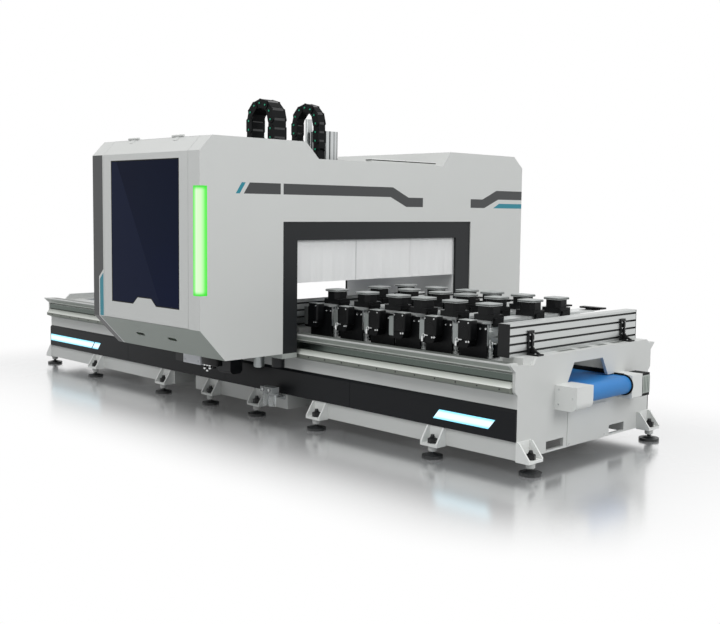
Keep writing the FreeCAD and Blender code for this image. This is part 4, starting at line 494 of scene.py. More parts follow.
portalMarks = {
    "brightFaces": ((0.990, 1.012), (-1.045, -0.985)),  # near white paint on the inner faces of both legs, a painted brightness
    "brightFaceSpan": (-0.44, 1.06),
    "brightFaceRise": (0.64, 1.579),
    "shoe": ((-1.25, -1.0), (0.58, 0.634)),  # guide block in the bed's tone
}


def portalPaint():
    # satin dark trim, nearly black, that takes a soft sheen along its edges; near white paint on the legs'
    # inner faces is painted light, and the guide block takes the bed's tone
    marks = portalMarks
    # painted light: the legs' inner faces are painted near white, brighter than their shade would give
    brightFaces = [boxPlanes(x=marks["brightFaceSpan"], y=side, z=marks["brightFaceRise"]) for side in marks["brightFaces"]]
    shoe = boxPlanes(y=marks["shoe"][0], z=marks["shoe"][1])
    return plainPaint("powderCoatedDarkTrim", paintColours["portalDark"],
                      [("F6F7F7", brightFaces), ("A9AEAA", [shoe])], spread=0.06, low=0.38, high=0.48, gloss=0.25)


dress(["portal_frame"], portalPaint())

# painted shade on the gantry rails' sides, under the lip
railShadeMarks = {"sides": ((-1.0, -0.9), (0.78, 0.88)), "rise": (0.655, 0.7125)}


def railSteel():
    # ground rail steel with lines along the travel; the sides of the gantry rails carry painted shade, darker
    # in the shade of the lip above them
    sides = [boxPlanes(y=side, z=railShadeMarks["rise"]) for side in railShadeMarks["sides"]]
    return metalSurface("groundRailSteel", "B9BDBA", 0.22, 0.36, stretch=(0.02, 1.0, 1.0),
                        painted=[("58605B", sides)])


dress(["guide_rails"], railSteel())


def mouldedGrain(tree, shader, place):
    # the soft unevenness of a moulded acrylic face, about 17 mm from crest to crest
    grain = addNode(tree, "TexNoise", {"Vector": place, "Scale": 60.0})
    relief = addNode(tree, "Bump", {"Strength": 0.03, "Distance": 0.001, "Height": grain.outputs["Fac"]})
    tree.links.new(relief.outputs[0], shader.inputs["Normal"])


barGlow = {"middle": 0.328, "half": 0.036, "edge": "7FD3EC", "core": "F2FCFF", "power": 0.9}


def litBar():
    # opal acrylic lit from inside: white along its middle, blue towards its edges
    material, tree, shader, place = startMaterial("litAcrylicBar")
    height = addNode(tree, "SeparateXYZ", {0: place}).outputs["Z"]
    away = addNode(tree, "Math", {0: height, 1: barGlow["middle"]}, operation="SUBTRACT")
    away = addNode(tree, "Math", {0: away.outputs[0]}, operation="ABSOLUTE")
    share = addNode(tree, "MapRange", {"Value": away.outputs[0], "From Min": barGlow["half"] * 0.35,
                                       "From Max": barGlow["half"]}, interpolation_type="SMOOTHSTEP")
    tone = addNode(tree, "Mix", {0: share.outputs[0], 6: toLinear(barGlow["core"]),
                                 7: toLinear(barGlow["edge"])}, data_type="RGBA")
    mouldedGrain(tree, shader, place)
    tree.links.new(tone.outputs[2], shader.inputs["Emission Color"])
    shader.inputs["Emission Strength"].default_value = barGlow["power"]
    shader.inputs["Base Color"].default_value = toLinear(barGlow["edge"])
    shader.inputs["Roughness"].default_value = 0.3
    return material


dress(["side_lights"], litBar())

lampGlow = {
    "middle": 1.585,
    "ends": (0.385, 0.424),  # from its middle
    "rim": (1.062, 1.014),
    "back": (-2.040, -1.982),
    "front": (-2.06, -2.0446),
    "side": ("DFFFD0", "4FE244"),  # from front to back
    "face": ("ECFFE0", "62E654"),  # from the middle to the rim
    "tip": "35D82C",
    "body": "2E7A2A",
    "power": 0.95,
}


def lampMaterial():
    # green lit acrylic: nearly white where it faces forward, greener round the corner
    # and deep green at its ends
    glow = lampGlow
    material, tree, shader, place = startMaterial("litGreenAcrylic")
    parts = addNode(tree, "SeparateXYZ", {0: place})
    away = addNode(tree, "Math", {0: parts.outputs["Z"], 1: glow["middle"]}, operation="SUBTRACT")
    away = addNode(tree, "Math", {0: away.outputs[0]}, operation="ABSOLUTE")
    shares = []
    for value, (start, stop) in ((away.outputs[0], glow["ends"]), (parts.outputs["X"], glow["rim"]),
                                 (parts.outputs["Y"], glow["back"])):
        shares.append(addNode(tree, "MapRange", {"Value": value, "From Min": start, "From Max": stop},
                              interpolation_type="SMOOTHSTEP").outputs[0])
    ends, rim, back = shares
    front = insidePlanes(tree, place, boxPlanes(y=glow["front"]))
    sideTone, faceTone = ([toLinear(code) for code in glow[part]] for part in ("side", "face"))
    side = addNode(tree, "Mix", {0: back, 6: sideTone[0], 7: sideTone[1]}, data_type="RGBA")
    face = addNode(tree, "Mix", {0: rim, 6: faceTone[0], 7: faceTone[1]}, data_type="RGBA")
    tone = addNode(tree, "Mix", {0: front, 6: side.outputs[2], 7: face.outputs[2]}, data_type="RGBA")
    mouldedGrain(tree, shader, place)
    tree.links.new(paintOver(tree, tone.outputs[2], glow["tip"], ends), shader.inputs["Emission Color"])
    shader.inputs["Emission Strength"].default_value = glow["power"]
    shader.inputs["Base Color"].default_value = toLinear(glow["body"])
    shader.inputs["Specular IOR Level"].default_value = 0.2
    shader.inputs["Roughness"].default_value = 0.35
    return material


dress(["status_light"], lampMaterial())
# black zinc plated steel, half matt
dress(["levelling_feet"], plainPaint("blackZincPlatedSteel", "1F2122", spread=0.12, cloudMm=90, low=0.32,
                                     high=0.46, gloss=0.45))

fenceMarks = {"slots": (0.844, 0.904, 0.964, 1.024), "slotHalf": 0.0078}


def fenceMetal():
    # anodised extrusion with drawn lines along it, and black strips in its slots that aren't metal
    slots = [boxPlanes(z=(z - fenceMarks["slotHalf"], z + fenceMarks["slotHalf"]))
             for z in fenceMarks["slots"]]
    material = metalSurface("anodisedExtrudedAluminium", "C9CCCB", 0.34, 0.46, stretch=(1.0, 0.02, 1.0),
                            painted=[("0B0C0C", slots)])
    tree = material.node_tree
    place = addNode(tree, "TexCoord").outputs["Object"]
    bare = addNode(tree, "Math", {0: 1.0, 1: areaMask(tree, place, slots)}, operation="SUBTRACT")
    tree.links.new(bare.outputs[0], tree.nodes["Principled BSDF"].inputs["Metallic"])
    return material


dress(["end_fences"], fenceMetal())
# black paint over rough castings, with little shine
dress(["fence_fittings"], plainPaint("blackPaintedCastIron", "121314", spread=0.15, cloudMm=90, low=0.38,
                                     high=0.52, gloss=0.25))

drumCheeks = boxPlanes(x=(3.302, 3.55), y=(0.285, 0.37))  # trough sides that carry the drive roller
# grey painted trough, black at those sides
dress(["conveyor_deck"], plainPaint("greyPaintedSteel", "9FA3A3", [("0D0E0F", [drumCheeks])], spread=0.05))
# woven belt with a smooth blue top cover
dress(["conveyor_belt"], plainPaint("bluePolyurethaneBelt", "2678BC", spread=0.08, grainMm=4, bump=0.12,
                                    low=0.45, high=0.55))
# enamelled casting, black with a mild sheen
dress(["conveyor_motor"], plainPaint("blackPaintedMotorHousing", "151617", spread=0.12, cloudMm=60, low=0.34,
                                     high=0.48, gloss=0.3))
# turned steel with fine rings round the drum
dress(["drive_roller", "tail_roller"], metalSurface("turnedRollerSteel", "A5A8A9", 0.28, 0.42,
                                                    stretch=(1.0, 0.1, 1.0)))

filterBowls = boxPlanes(y=(-1.2, -0.97), z=(0.10, 0.236))


def filterMaterial():
    # clear moulded bowls, glossy and seen through, under grey die cast heads
    material, tree, shader, place = startMaterial("mouldedClearPolycarbonate")
    colour = coatedSurface(tree, shader, place, "A4A8A9", spread=0.06, cloudMm=40, low=0.12, high=0.22)
    bowls = insidePlanes(tree, place, filterBowls)
    tree.links.new(paintOver(tree, colour, "F0F3F4", bowls), shader.inputs["Base Color"])
    clear = addNode(tree, "Math", {0: bowls, 1: 0.9}, operation="MULTIPLY")
    tree.links.new(clear.outputs[0], shader.inputs["Transmission Weight"])
    return material


dress(["air_unit"], filterMaterial())
# grey enamel over machined castings, hidden in shade behind the curtains
dress(["cross_beam", "y_carriage"], plainPaint("greyPaintedMachinedSteel", "5E6163", spread=0.06))

# painted shade: dark gaps between the ram's guide rails
ramMarks = {
    "shadedGapsX": ((0.505, 0.528), (0.560, 0.568), (0.615, 0.640), (0.662, 0.670)),
    "shadedGapsY": ((-0.390, -0.382), (-0.346, -0.330), (-0.290, -0.282), (-0.252, -0.236)),
    "face": (0.705, 0.72),
}


def ramMetal():
    # milled aluminium with upright guide rails, and painted shade in the gaps between them
    gapShade = [boxPlanes(x=x) for x in ramMarks["shadedGapsX"]] + [boxPlanes(y=y, x=ramMarks["face"])
                                                          for y in ramMarks["shadedGapsY"]]
    return metalSurface("milledAluminium", "C6C9C9", 0.28, 0.42, stretch=(1.0, 1.0, 0.05),
                        painted=[("4A4D4E", gapShade)])


dress(["z_ram"], ramMetal())
# ground and hardened, the brightest metal
dress(["spindle_shaft"], metalSurface("hardenedToolSteel", "A7AAAB", 0.18, 0.30))
# glass filled nylon links, matt black
dress(["energy_chains"], plainPaint("mouldedNylonLinks", "0D0F10", spread=0.18, cloudMm=50, grainMm=6,
                                    bump=0.08, low=0.42, high=0.56, gloss=0.10))
# black enamel on the gear housing under the leg
dress(["gantry_drive"], plainPaint("blackPaintedDrive", "15171A", spread=0.12, low=0.35, high=0.50,
                                   gloss=0.3))
# soft white strip with a waxy shine and faint hanging waves
curtainPvc = plainPaint("calenderedWhitePvc", "E9EAEA", spread=0.03, cloudMm=250, grainMm=180, bump=0.25,
                        low=0.28, high=0.40)
dress(["strip_curtains"], curtainPvc)

glassTones = {
    "slant": ((-0.18, 2.23), (-0.18, 1.03), (0.56, 1.03), (-0.10, 2.23)),  # outline of the half with the painted reflection
    "rise": (1.0, 2.25),
    "low": "0D1738",
    "high": "0A1129",
    "haze": "0D182E",
    "reflectionTone": "171F38",
}


def glassMaterial():
    # dark tinted laminated glass: a deep blue body under a hard gloss, with a painted reflection that is
    # lighter towards the foot and in one slanted half
    tones = glassTones
    material, tree, shader, place = startMaterial("tintedLaminatedGlass")
    height = addNode(tree, "SeparateXYZ", {0: place}).outputs["Z"]
    # painted reflection: the glass is painted lighter towards its foot
    share = addNode(tree, "MapRange", {"Value": height, "From Min": tones["rise"][0],
                                       "From Max": tones["rise"][1]}, interpolation_type="SMOOTHSTEP")
    tone = addNode(tree, "Mix", {0: share.outputs[0], 6: toLinear(tones["low"]), 7: toLinear(tones["high"])},
                   data_type="RGBA")
    haze = addNode(tree, "TexNoise", {"Vector": place, "Scale": 2.2, "Detail": 2.0})
    clouded = paintOver(tree, tone.outputs[2], tones["haze"], haze.outputs["Fac"])
    # painted reflection: a slanted half painted a shade lighter
    slant = insidePlanes(tree, place, polygonPlanes((0, 2), tones["slant"]))
    gloss = addNode(tree, "MapRange", {"Value": haze.outputs["Fac"], "To Min": 0.04, "To Max": 0.08})
    tree.links.new(paintOver(tree, clouded, tones["reflectionTone"], slant), shader.inputs["Base Color"])
    tree.links.new(gloss.outputs[0], shader.inputs["Roughness"])
    shader.inputs["IOR"].default_value = 1.5
    shader.inputs["Specular IOR Level"].default_value = 0.03  # thin dark film takes part of the mirror image
    return material


dress(["door_glass"], glassMaterial())

consoleMiddles = (1.1435, 1.5115, 1.8695, 2.1455, 2.4675, 2.7995)  # places of the six along the bed
consoleMarks = {
    "front": boxPlanes(y=(-1.0, -0.807)),
    "shoes": boxPlanes(y=(-0.70, 0.80), z=(0.70, 0.8602)),
    "rear": boxPlanes(z=(1.0302, 1.10)),
    "edges": (1.2745, 1.6425, 2.0005, 2.2765, 2.5985, 2.9305),  # bare cut edges of the front plates
    "edgeHalf": 0.0006,
    "edgeY": (-0.8205, -0.8075),
    "edgeRise": (0.86, 1.02),
    "flange": (-0.123, -0.074),  # from a console's middle
    "flangeY": (-0.91, -0.8225),
    "rise": (0.862, 1.02),
    "beam": "DCDFDE",
    "flangeHex": "8E9392",
    "ends": "0D0E0F",
}


def consoleMaterial():
    # dull black paint on the end plates and drive box, and a bright satin beam between them
    marks = consoleMarks
    material, tree, shader, place = startMaterial("extrudedBeamWithBlackEnds")
    colour = coatedSurface(tree, shader, place, marks["beam"], spread=0.05, cloudMm=160, low=0.30, high=0.42)
    black = areaMask(tree, place, [marks["front"], marks["shoes"], marks["rear"]])
    half = marks["edgeHalf"]
    edges = [boxPlanes(x=(x - half, x + half), y=marks["edgeY"], z=marks["edgeRise"]) for x in marks["edges"]]
    left, right = marks["flange"]
    flanges = [boxPlanes(x=(x + left, x + right), y=marks["flangeY"], z=marks["rise"])
               for x in consoleMiddles]
    bright = areaMask(tree, place, edges + flanges)
    dull = addNode(tree, "Math", {0: 1.0, 1: bright}, operation="SUBTRACT")
    black = addNode(tree, "Math", {0: black, 1: dull.outputs[0]}, operation="MULTIPLY").outputs[0]
    colour = paintOver(tree, colour, marks["flangeHex"], areaMask(tree, place, flanges))
    tree.links.new(paintOver(tree, colour, marks["ends"], black), shader.inputs["Base Color"])
    shader.inputs["Specular IOR Level"].default_value = 0.12
    bare = addNode(tree, "Math", {0: 1.0, 1: black}, operation="SUBTRACT")
    bare = addNode(tree, "Math", {0: bare.outputs[0], 1: 0.8}, operation="MULTIPLY")
    tree.links.new(bare.outputs[0], shader.inputs["Metallic"])
    return material


consoleFinish = consoleMaterial()
podPlate = boxPlanes(z=(1.1372, 1.16))
# moulded black body with a light grey anodised plate on top
podFinish = plainPaint("anodisedPlateOnMouldedBody", "101112", [("AEB2B1", [podPlate])], spread=0.15,
                       cloudMm=60, low=0.34, high=0.48, gloss=0.18)
# ground and polished rod, bright all round
pinFinish = metalSurface("groundStopRod", "C4C7C8", 0.15, 0.25)
for number in range(1, 7):
    dress(["console_%d" % number], consoleFinish)
    dress(["stop_pin_%d" % number], pinFinish)
    dress(["pod_%d_%d" % (number, row) for row in (1, 2, 3)], podFinish)
print("finishes set")


# shaping tools

def editMode():
    bpy.ops.object.mode_set(mode="EDIT")


def objectMode():
    bpy.ops.object.mode_set(mode="OBJECT")


def onlyPick(piece):
    # everything is deselected first, and the piece becomes the active one
    bpy.ops.object.select_all(action="DESELECT")
    piece.select_set(True)
    bpy.context.view_layer.objects.active = piece


def pickFaces(piece, test):
    # leaves the faces that pass the test selected in edit mode
    editMode()
    bpy.ops.mesh.select_mode(type="FACE")
    bpy.ops.mesh.select_all(action="DESELECT")
    objectMode()
    for face in piece.data.polygons:
        face.select = test(face.center, face.normal)
    editMode()


def block(low, high, edge=0.0, steps=2):
    # a block between two corners with rounded edges
    bpy.ops.object.select_all(action="DESELECT")
    bpy.ops.mesh.primitive_cube_add(size=1, location=[(a + b) / 2 for a, b in zip(low, high)])
    piece = bpy.context.object
    piece.scale = [b - a for a, b in zip(low, high)]
    bpy.ops.object.transform_apply(location=True, rotation=True, scale=True)
    if edge:
        editMode()
        bpy.ops.mesh.select_all(action="SELECT")
        bpy.ops.mesh.bevel(offset=edge, segments=steps, affect="EDGES")
        objectMode()
    return piece


def barrel(middle, axis, radius, length, sides=12, lip=0.003, sink=0.003, turn=0.0):
    # a round body on an axis; its outer end is stepped in by lip and sunk, or raised where sink is negative
    bpy.ops.object.select_all(action="DESELECT")
    axis = Vector(axis).normalized()
    bpy.ops.mesh.primitive_cylinder_add(vertices=sides, radius=radius, depth=length, location=middle)
    piece = bpy.context.object
    aim = axis.to_track_quat("Z", "Y").to_matrix()
    piece.rotation_euler = (aim @ Matrix.Rotation(turn, 3, "Z")).to_euler()
    bpy.ops.object.transform_apply(location=True, rotation=True, scale=True)
    pickFaces(piece, lambda centre, normal: normal.dot(axis) > 0.9)
    bpy.ops.mesh.inset(thickness=lip, depth=0)
    bpy.ops.mesh.extrude_region_move(TRANSFORM_OT_translate={"value": tuple(-sink * a for a in axis)})
    objectMode()
    return piece


def copiesOf(piece, steps):
    # the piece and its copies, each with its own mesh, moved by steps
    twins = []
    for step in steps:
        twin = piece.copy()
        twin.data = piece.data.copy()
        twin.data.transform(Matrix.Translation(step))
        bpy.context.scene.collection.objects.link(twin)
        twins.append(twin)
    bpy.data.objects.remove(piece)
    return twins


def joined(parts):
    bpy.ops.object.select_all(action="DESELECT")
    for part in parts:
        part.select_set(True)
    bpy.context.view_layer.objects.active = parts[0]
    bpy.ops.object.join()
    return bpy.context.object


def settled(piece, name, material, body, angle=30):
    # the last touches: outward faces, shading, finish and the body that carries it
    onlyPick(piece)
    editMode()
    bpy.ops.mesh.select_all(action="SELECT")
    bpy.ops.mesh.normals_make_consistent(inside=False)
    objectMode()
    bpy.ops.object.shade_smooth_by_angle(angle=math.radians(angle))
    piece.name = name
    piece.data.name = name
    piece.data.materials.clear()
    piece.data.materials.append(material)
    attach(piece, body)
    return piece


# zinc plated steel: pale, with a light satin
screwSteel = metalSurface("zincPlatedScrewSteel", "DADCDC", 0.20, 0.34, grainMm=4)
# black oxide: dull, with a faint sheen on its edges
blackOxide = plainPaint("blackOxidisedSteel", "101112", spread=0.15, cloudMm=40, grainMm=3, low=0.34,
                        high=0.50, gloss=0.3)
# moulded rubber: dark and dull, finely rough
blackRubber = plainPaint("mouldedNitrileRubber", "0F1010", spread=0.18, cloudMm=60, grainMm=3, bump=0.12,
                         low=0.60, high=0.74, gloss=0.2)
# moulded nylon: bright green and half glossy
greenNylon = plainPaint("mouldedGreenNylon", "1FA27C", spread=0.08, cloudMm=20, grainMm=2, low=0.30,
                        high=0.42, gloss=0.4)
# pale coat on small castings
palePaint = plainPaint("powderCoatedCastNut", "C4C6C4", spread=0.04, cloudMm=60, low=0.36, high=0.48)


# console fittings

consoleFit = {
    "plateFace": -0.821,
    "screwPlaces": ((0.071, 0.984), (0.121, 0.986)),
    "screwRadius": 0.0078,
    "screwLength": 0.008,
    "coverScrews": (
        (0.030, 1.028, 0.0058),
        (-0.058, 1.028, 0.0048),
        (0.014, 0.888, 0.0075),
        (0.036, 0.890, 0.0075),
    ),
    "headFace": -0.907,
    "coverSpan": (-0.074, 0.046),
    "coverRise": (0.893, 1.046),
    "coverThick": 0.006,
    "bossRadius": 0.046,
    "bossRise": 0.062,  # above the cover's foot
    "stopAt": (0.102, -0.747),  # the stop cylinder beside the beam
    "sleeveRadius": 0.0205,
    "sleeveSpan": (0.7605, 0.802),
    "collars": ((0.832, 0.013), (0.7825, 0.006)),  # height and thickness
    "collarRadius": 0.0262,
    "ringed": (2, 3, 5, 6),  # consoles with a ring fitting under the cover
    "ringAt": (-0.072, -0.917, 0.896),
    "stopRingAt": (0.134, -0.772, 0.872),
}

# ring fitting, and its round parts: place from the ring's middle, axis, radius, length, sides, lip, sink
eyeFit = {
    "radius": 0.013,
    "wire": 0.0040,
    "parts": (
        ((0.026, 0.004, 0.003), (1, 0, 0), 0.0056, 0.030, 12, 0.0015, -0.002),
        ((-0.012, 0.001, -0.026), (0, 0, -1), 0.0105, 0.036, 16, 0.003, -0.002),
        ((-0.012, 0.001, -0.024), (0, 0, 1), 0.0140, 0.009, 6, 0.002, -0.001),
    ),
}


def consoleScrews(middle):
    # two screws in the front plate and four in the cover's face
    fit = consoleFit
    parts = []
    for dx, z in fit["screwPlaces"]:
        parts.append(barrel((middle + dx, fit["plateFace"] - 0.003, z), (0, -1, 0), fit["screwRadius"],
                            fit["screwLength"], lip=0.0032, sink=0.004))
    face = fit["headFace"] - fit["coverThick"]
    for dx, z, radius in fit["coverScrews"]:
        parts.append(barrel((middle + dx, face - 0.001, z), (0, -1, 0), radius, fit["screwLength"],
                            lip=radius * 0.4, sink=0.002))
    return joined(parts)


def consoleLid(middle):
    # the drive's rounded cover, with a round boss on its face
    fit = consoleFit
    (left, right), (low, high) = fit["coverSpan"], fit["coverRise"]
    face = fit["headFace"] - fit["coverThick"]
    cover = block((middle + left, face, low), (middle + right, fit["plateFace"] - 0.0005, high), edge=0.015,
                  steps=4)
    boss = barrel((middle + (left + right) / 2, face + 0.001, low + fit["bossRise"]), (0, -1, 0),
                  fit["bossRadius"], fit["coverThick"], sides=40, lip=0.005, sink=0.001)
    return joined([cover, boss])


def consoleRoof(middle):
    # a bright plate let into the cover's top
    fit = consoleFit
    (left, right), high = fit["coverSpan"], fit["coverRise"][1]
    face = fit["headFace"] - fit["coverThick"]
    return block((middle + left + 0.004, face + 0.008, high - 0.003),
                 (middle + right - 0.002, fit["plateFace"] - 0.002, high + 0.0012), edge=0.0012)


def consoleSleeve(middle):
    # the stop cylinder's lower sleeve and its clamped collars
    fit = consoleFit
    x, y = middle + fit["stopAt"][0], fit["stopAt"][1]
    low, high = fit["sleeveSpan"]
    parts = [barrel((x, y, (low + high) / 2), (0, 0, -1), fit["sleeveRadius"], high - low, sides=28,
                    lip=0.004, sink=-0.003)]
    for z, tall in fit["collars"]:
        parts.append(barrel((x, y, z), (0, 0, 1), fit["collarRadius"], tall, sides=28, sink=-0.001))
    return joined(parts)


def consoleEye(x, y, z):
    # a ring fitting and its elbows above a hose nipple
    fit = eyeFit
    bpy.ops.object.select_all(action="DESELECT")
    bpy.ops.mesh.primitive_torus_add(major_segments=24, minor_segments=8, major_radius=fit["radius"],
                                     minor_radius=fit["wire"], location=(x, y, z),
                                     rotation=(math.pi / 2, 0, 0))
    parts = [bpy.context.object]
    bpy.ops.object.transform_apply(location=True, rotation=True, scale=True)
    for (dx, dy, dz), axis, radius, length, sides, lip, sink in fit["parts"]:
        parts.append(barrel((x + dx, y + dy, z + dz), axis, radius, length, sides=sides, lip=lip, sink=sink))
    return joined(parts)


# moulded nylon cover: black, with a soft shine on its rounded edges
coverBlack = plainPaint("mouldedGlassFilledNylon", "0C0D0E", spread=0.2, cloudMm=60, grainMm=4, low=0.26,
                        high=0.40, gloss=0.16)
# brushed across the bed, so that it catches the light in short lines
brushedPlate = metalSurface("brushedAluminiumPlate", "C2C6C5", 0.34, 0.48, stretch=(0.05, 1.0, 1.0))
for number, middle in enumerate(consoleMiddles, 1):
    rider = "console_%d" % number
    settled(consoleScrews(middle), "consoleScrews%d" % number, screwSteel, rider)
    settled(consoleLid(middle), "consoleLid%d" % number, coverBlack, rider)
    settled(consoleRoof(middle), "consoleRoof%d" % number, brushedPlate, rider)
    settled(consoleSleeve(middle), "consoleSleeve%d" % number, screwSteel, rider)
    if number in consoleFit["ringed"]:
        dx, y, z = consoleFit["ringAt"]
        settled(consoleEye(middle + dx, y, z), "consoleEye%d" % number, screwSteel, rider)
dx, y, z = consoleFit["stopRingAt"]
settled(consoleEye(consoleMiddles[5] + dx, y, z), "stopEye6", screwSteel, "console_6")
print("console fittings made")


# pod seals and screws

podFit = {
    "half": 0.0792,
    "corner": 0.0145,
    "low": 1.1428,
    "high": 1.1472,
    "top": 1.155,
    "topScrew": (0.060, 0.0045, 0.0012),  # how far out, radius, how far proud
}


def podSeal(x, y):
    # a rubber lip round the plate, proud of its edge
    fit = podFit
    seal = block((x - fit["half"], y - fit["half"], fit["low"]),
                 (x + fit["half"], y + fit["half"], fit["high"]))
    editMode()
    bpy.ops.mesh.select_mode(type="EDGE")
    bpy.ops.mesh.select_all(action="DESELECT")
    objectMode()
    for edge in seal.data.edges:
        a, b = (seal.data.vertices[k].co for k in edge.vertices)
        edge.select = abs(a.z - b.z) > 0.002
    editMode()
    bpy.ops.mesh.bevel(offset=fit["corner"], segments=1, affect="EDGES")
    objectMode()
    return seal


def podScrews(x, y):
    # the sunk screws of the top plate
    out, radius, proud = podFit["topScrew"]
    parts = []
    for dx in (-out, out):
        for dy in (-out, out):
            parts.append(barrel((x + dx, y + dy, podFit["top"] + proud / 2 - 0.001), (0, 0, 1), radius,
                                0.002 + proud, sides=10, lip=0.0016, sink=0.001))
    return joined(parts)


for number in range(1, 7):
    for row in (1, 2, 3):
        name = "pod_%d_%d" % (number, row)
        low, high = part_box(name)
        x, y = (low[0] + high[0]) / 2, (low[1] + high[1]) / 2
        settled(podSeal(x, y), "podSeal%d_%d" % (number, row), blackRubber, name)
        settled(podScrews(x, y), "podScrews%d_%d" % (number, row), screwSteel, name)
print("pod seals made")


# bed screws, feet and conveyor end

bedFit = {
    "railSpan": (-3.20, 3.20),
    "railPitch": 0.10,
    "railZ": 0.690,
    "railFaces": (-0.9685, 0.8505),  # waist of the rails at each side
    "ledgePitch": 0.20,
    "ledgeZ": 0.602,
    "ledgeFaces": (-1.014, 0.896),
    "railScrew": (0.0075, 0.004, 10),  # radius, how far proud, sides
    "ledgeScrew": (0.0055, 0.003, 8),
}


def sideScrews(span, pitch, z, faces, screw):
    # a row of screws along both sides of the bed
    radius, proud, sides = screw
    parts = []
    count = int(round((span[1] - span[0]) / pitch)) + 1
    for face in faces:
        out = -1 if face < 0 else 1
        first = barrel((span[0], face + out * (proud / 2 - 0.001), z), (0, out, 0), radius, proud + 0.002,
                       sides=sides, lip=radius * 0.42, sink=proud * 0.6)
        parts += copiesOf(first, [(k * pitch, 0, 0) for k in range(count)])
    return joined(parts)


settled(sideScrews(bedFit["railSpan"], bedFit["railPitch"], bedFit["railZ"], bedFit["railFaces"],
                   bedFit["railScrew"]), "railScrews", screwSteel, "bed")
settled(sideScrews(bedFit["railSpan"], bedFit["ledgePitch"], bedFit["ledgeZ"], bedFit["ledgeFaces"],
                   bedFit["ledgeScrew"]), "ledgeScrews", blackOxide, "bed")

feetFit = {
    "sideX": (-2.2775, -0.9735, -0.1915, 0.4985, 1.2905, 2.5795),
    "sideY": (-1.001, 0.883),
    "endX": (-3.4189, 3.3779),
    "endY": (-0.871, 0.753),
    "plateTop": 0.110,
    "plateLow": 0.092,
    "nutRadius": 0.037,
    "nutHeight": 0.034,
    "capRadius": 0.0185,
    "washerRadius": 0.041,
    "collarRadius": 0.034,
    "collarHeight": 0.036,
}


def footSteps():
    fit = feetFit
    sides = [(x, y, 0) for x in fit["sideX"] for y in fit["sideY"]]
    return sides + [(x, y, 0) for x in fit["endX"] for y in fit["endY"]]


def footNut():
    # a large chamfered hexagon nut, with its crown stepped in round the stud
    fit = feetFit
    top, height = fit["plateTop"], fit["nutHeight"]
    nut = barrel((0, 0, top + 0.003 + height / 2), (0, 0, 1), fit["nutRadius"], height, sides=6, lip=0.008,
                 sink=-0.004, turn=0.3)
    cap = barrel((0, 0, top + height + 0.010), (0, 0, 1), fit["capRadius"], 0.016, sides=16, lip=0.004,
                 sink=-0.003)
    return joined([nut, cap])


def footCollar():
    # washer above the bracket's plate and a cast collar under it
    fit = feetFit
    washer = barrel((0, 0, fit["plateTop"] + 0.0015), (0, 0, 1), fit["washerRadius"], 0.003, sides=24,
                    sink=0.001)
    collar = barrel((0, 0, fit["plateLow"] - fit["collarHeight"] / 2), (0, 0, -1), fit["collarRadius"],
                    fit["collarHeight"], sides=20, lip=0.005, sink=-0.006)
    return joined([washer, collar])


settled(joined(copiesOf(footNut(), footSteps())), "footNuts", blackOxide, "bed")
settled(joined(copiesOf(footCollar(), footSteps())), "footCollars", palePaint, "bed")

plateScrew = (0.007, 0.006)  # radius and length
endFit = {
    "hatchFaces": ((3.3145, 1), (-3.3555, -1)),  # screw middles on each end's hatch, and the way out
    "hatchScrews": ((-0.300, 0.122), (0.182, 0.122), (-0.300, 0.364), (0.182, 0.364)),
    "hoodFace": -0.500,
    "hoodScrews": ((3.345, 0.450), (3.345, 0.560), (3.465, 0.505)),
    "hoodScrew": (0.006, 0.006),
    "motorLow": (3.3295, 0.461, 0.404),
    "motorHigh": (3.4595, 0.589, 0.584),
    "panelInset": (0.010, 0.022, 0.016),  # from the motor's sides, foot and top
    "panelDepth": (0.002, 0.003),  # into its face and out of it
    "ribs": 5,
    "ribInset": (0.013, 0.026, 0.020),
    "ribWidth": 0.008,
    "ribProud": 0.012,
    "rollerAxis": (3.3975, 0.5087),
    "guardRadius": 0.083,
    "guardFace": 0.3035,
    "guardStrip": ((3.312, 0.3005, 0.570), 0.308),  # low corner, and outer face
    "skirts": ((0.303, 0.315), (-0.433, -0.421)),
    "skirtSpan": (-3.15, 3.300),
    "skirtRise": (0.574, 0.612),
}


def endScrews():
    # round both hatches and on the hood's side
    fit = endFit
    parts = []
    for x, out in fit["hatchFaces"]:
        parts += [barrel((x, y, z), (out, 0, 0), *plateScrew) for y, z in fit["hatchScrews"]]
    parts += [barrel((x, fit["hoodFace"], z), (0, -1, 0), *fit["hoodScrew"], lip=0.0026)
              for x, z in fit["hoodScrews"]]
    return joined(parts)


def motorRibs():
    # upright cooling ribs in a panel on the gear motor's outer face
    fit = endFit
    low, high = fit["motorLow"], fit["motorHigh"]
    aside, foot, top = fit["panelInset"]
    deep, proud = fit["panelDepth"]
    parts = [block((high[0] - deep, low[1] + aside, low[2] + foot),
                   (high[0] + proud, high[1] - aside, high[2] - top), edge=0.002)]
    aside, foot, top = fit["ribInset"]
    width = fit["ribWidth"]
    step = (high[1] - low[1] - 2 * aside - width) / (fit["ribs"] - 1)
    for number in range(fit["ribs"]):
        y = low[1] + aside + number * step
        parts.append(block((high[0], y, low[2] + foot),
                           (high[0] + fit["ribProud"], y + width, high[2] - top), edge=0.0025))
    return joined(parts)


def beltSkirts():
    # rubber skirts along both edges of the belt, and the guard round its far edge at the drive roller
    fit = endFit
    x, z = fit["rollerAxis"]
    radius, (corner, outer) = fit["guardRadius"], fit["guardStrip"]
    parts = [barrel((x, fit["guardFace"], z), (0, -1, 0), radius, 0.009, sides=40, lip=0.005, sink=0.001)]
    parts.append(block(corner, (x, outer, z + radius + 0.004), edge=0.001))
    (left, right), (low, high) = fit["skirtSpan"], fit["skirtRise"]
    for near, far in fit["skirts"]:
        parts.append(block((left, near, low), (right, far, high), edge=0.002))
    return joined(parts)


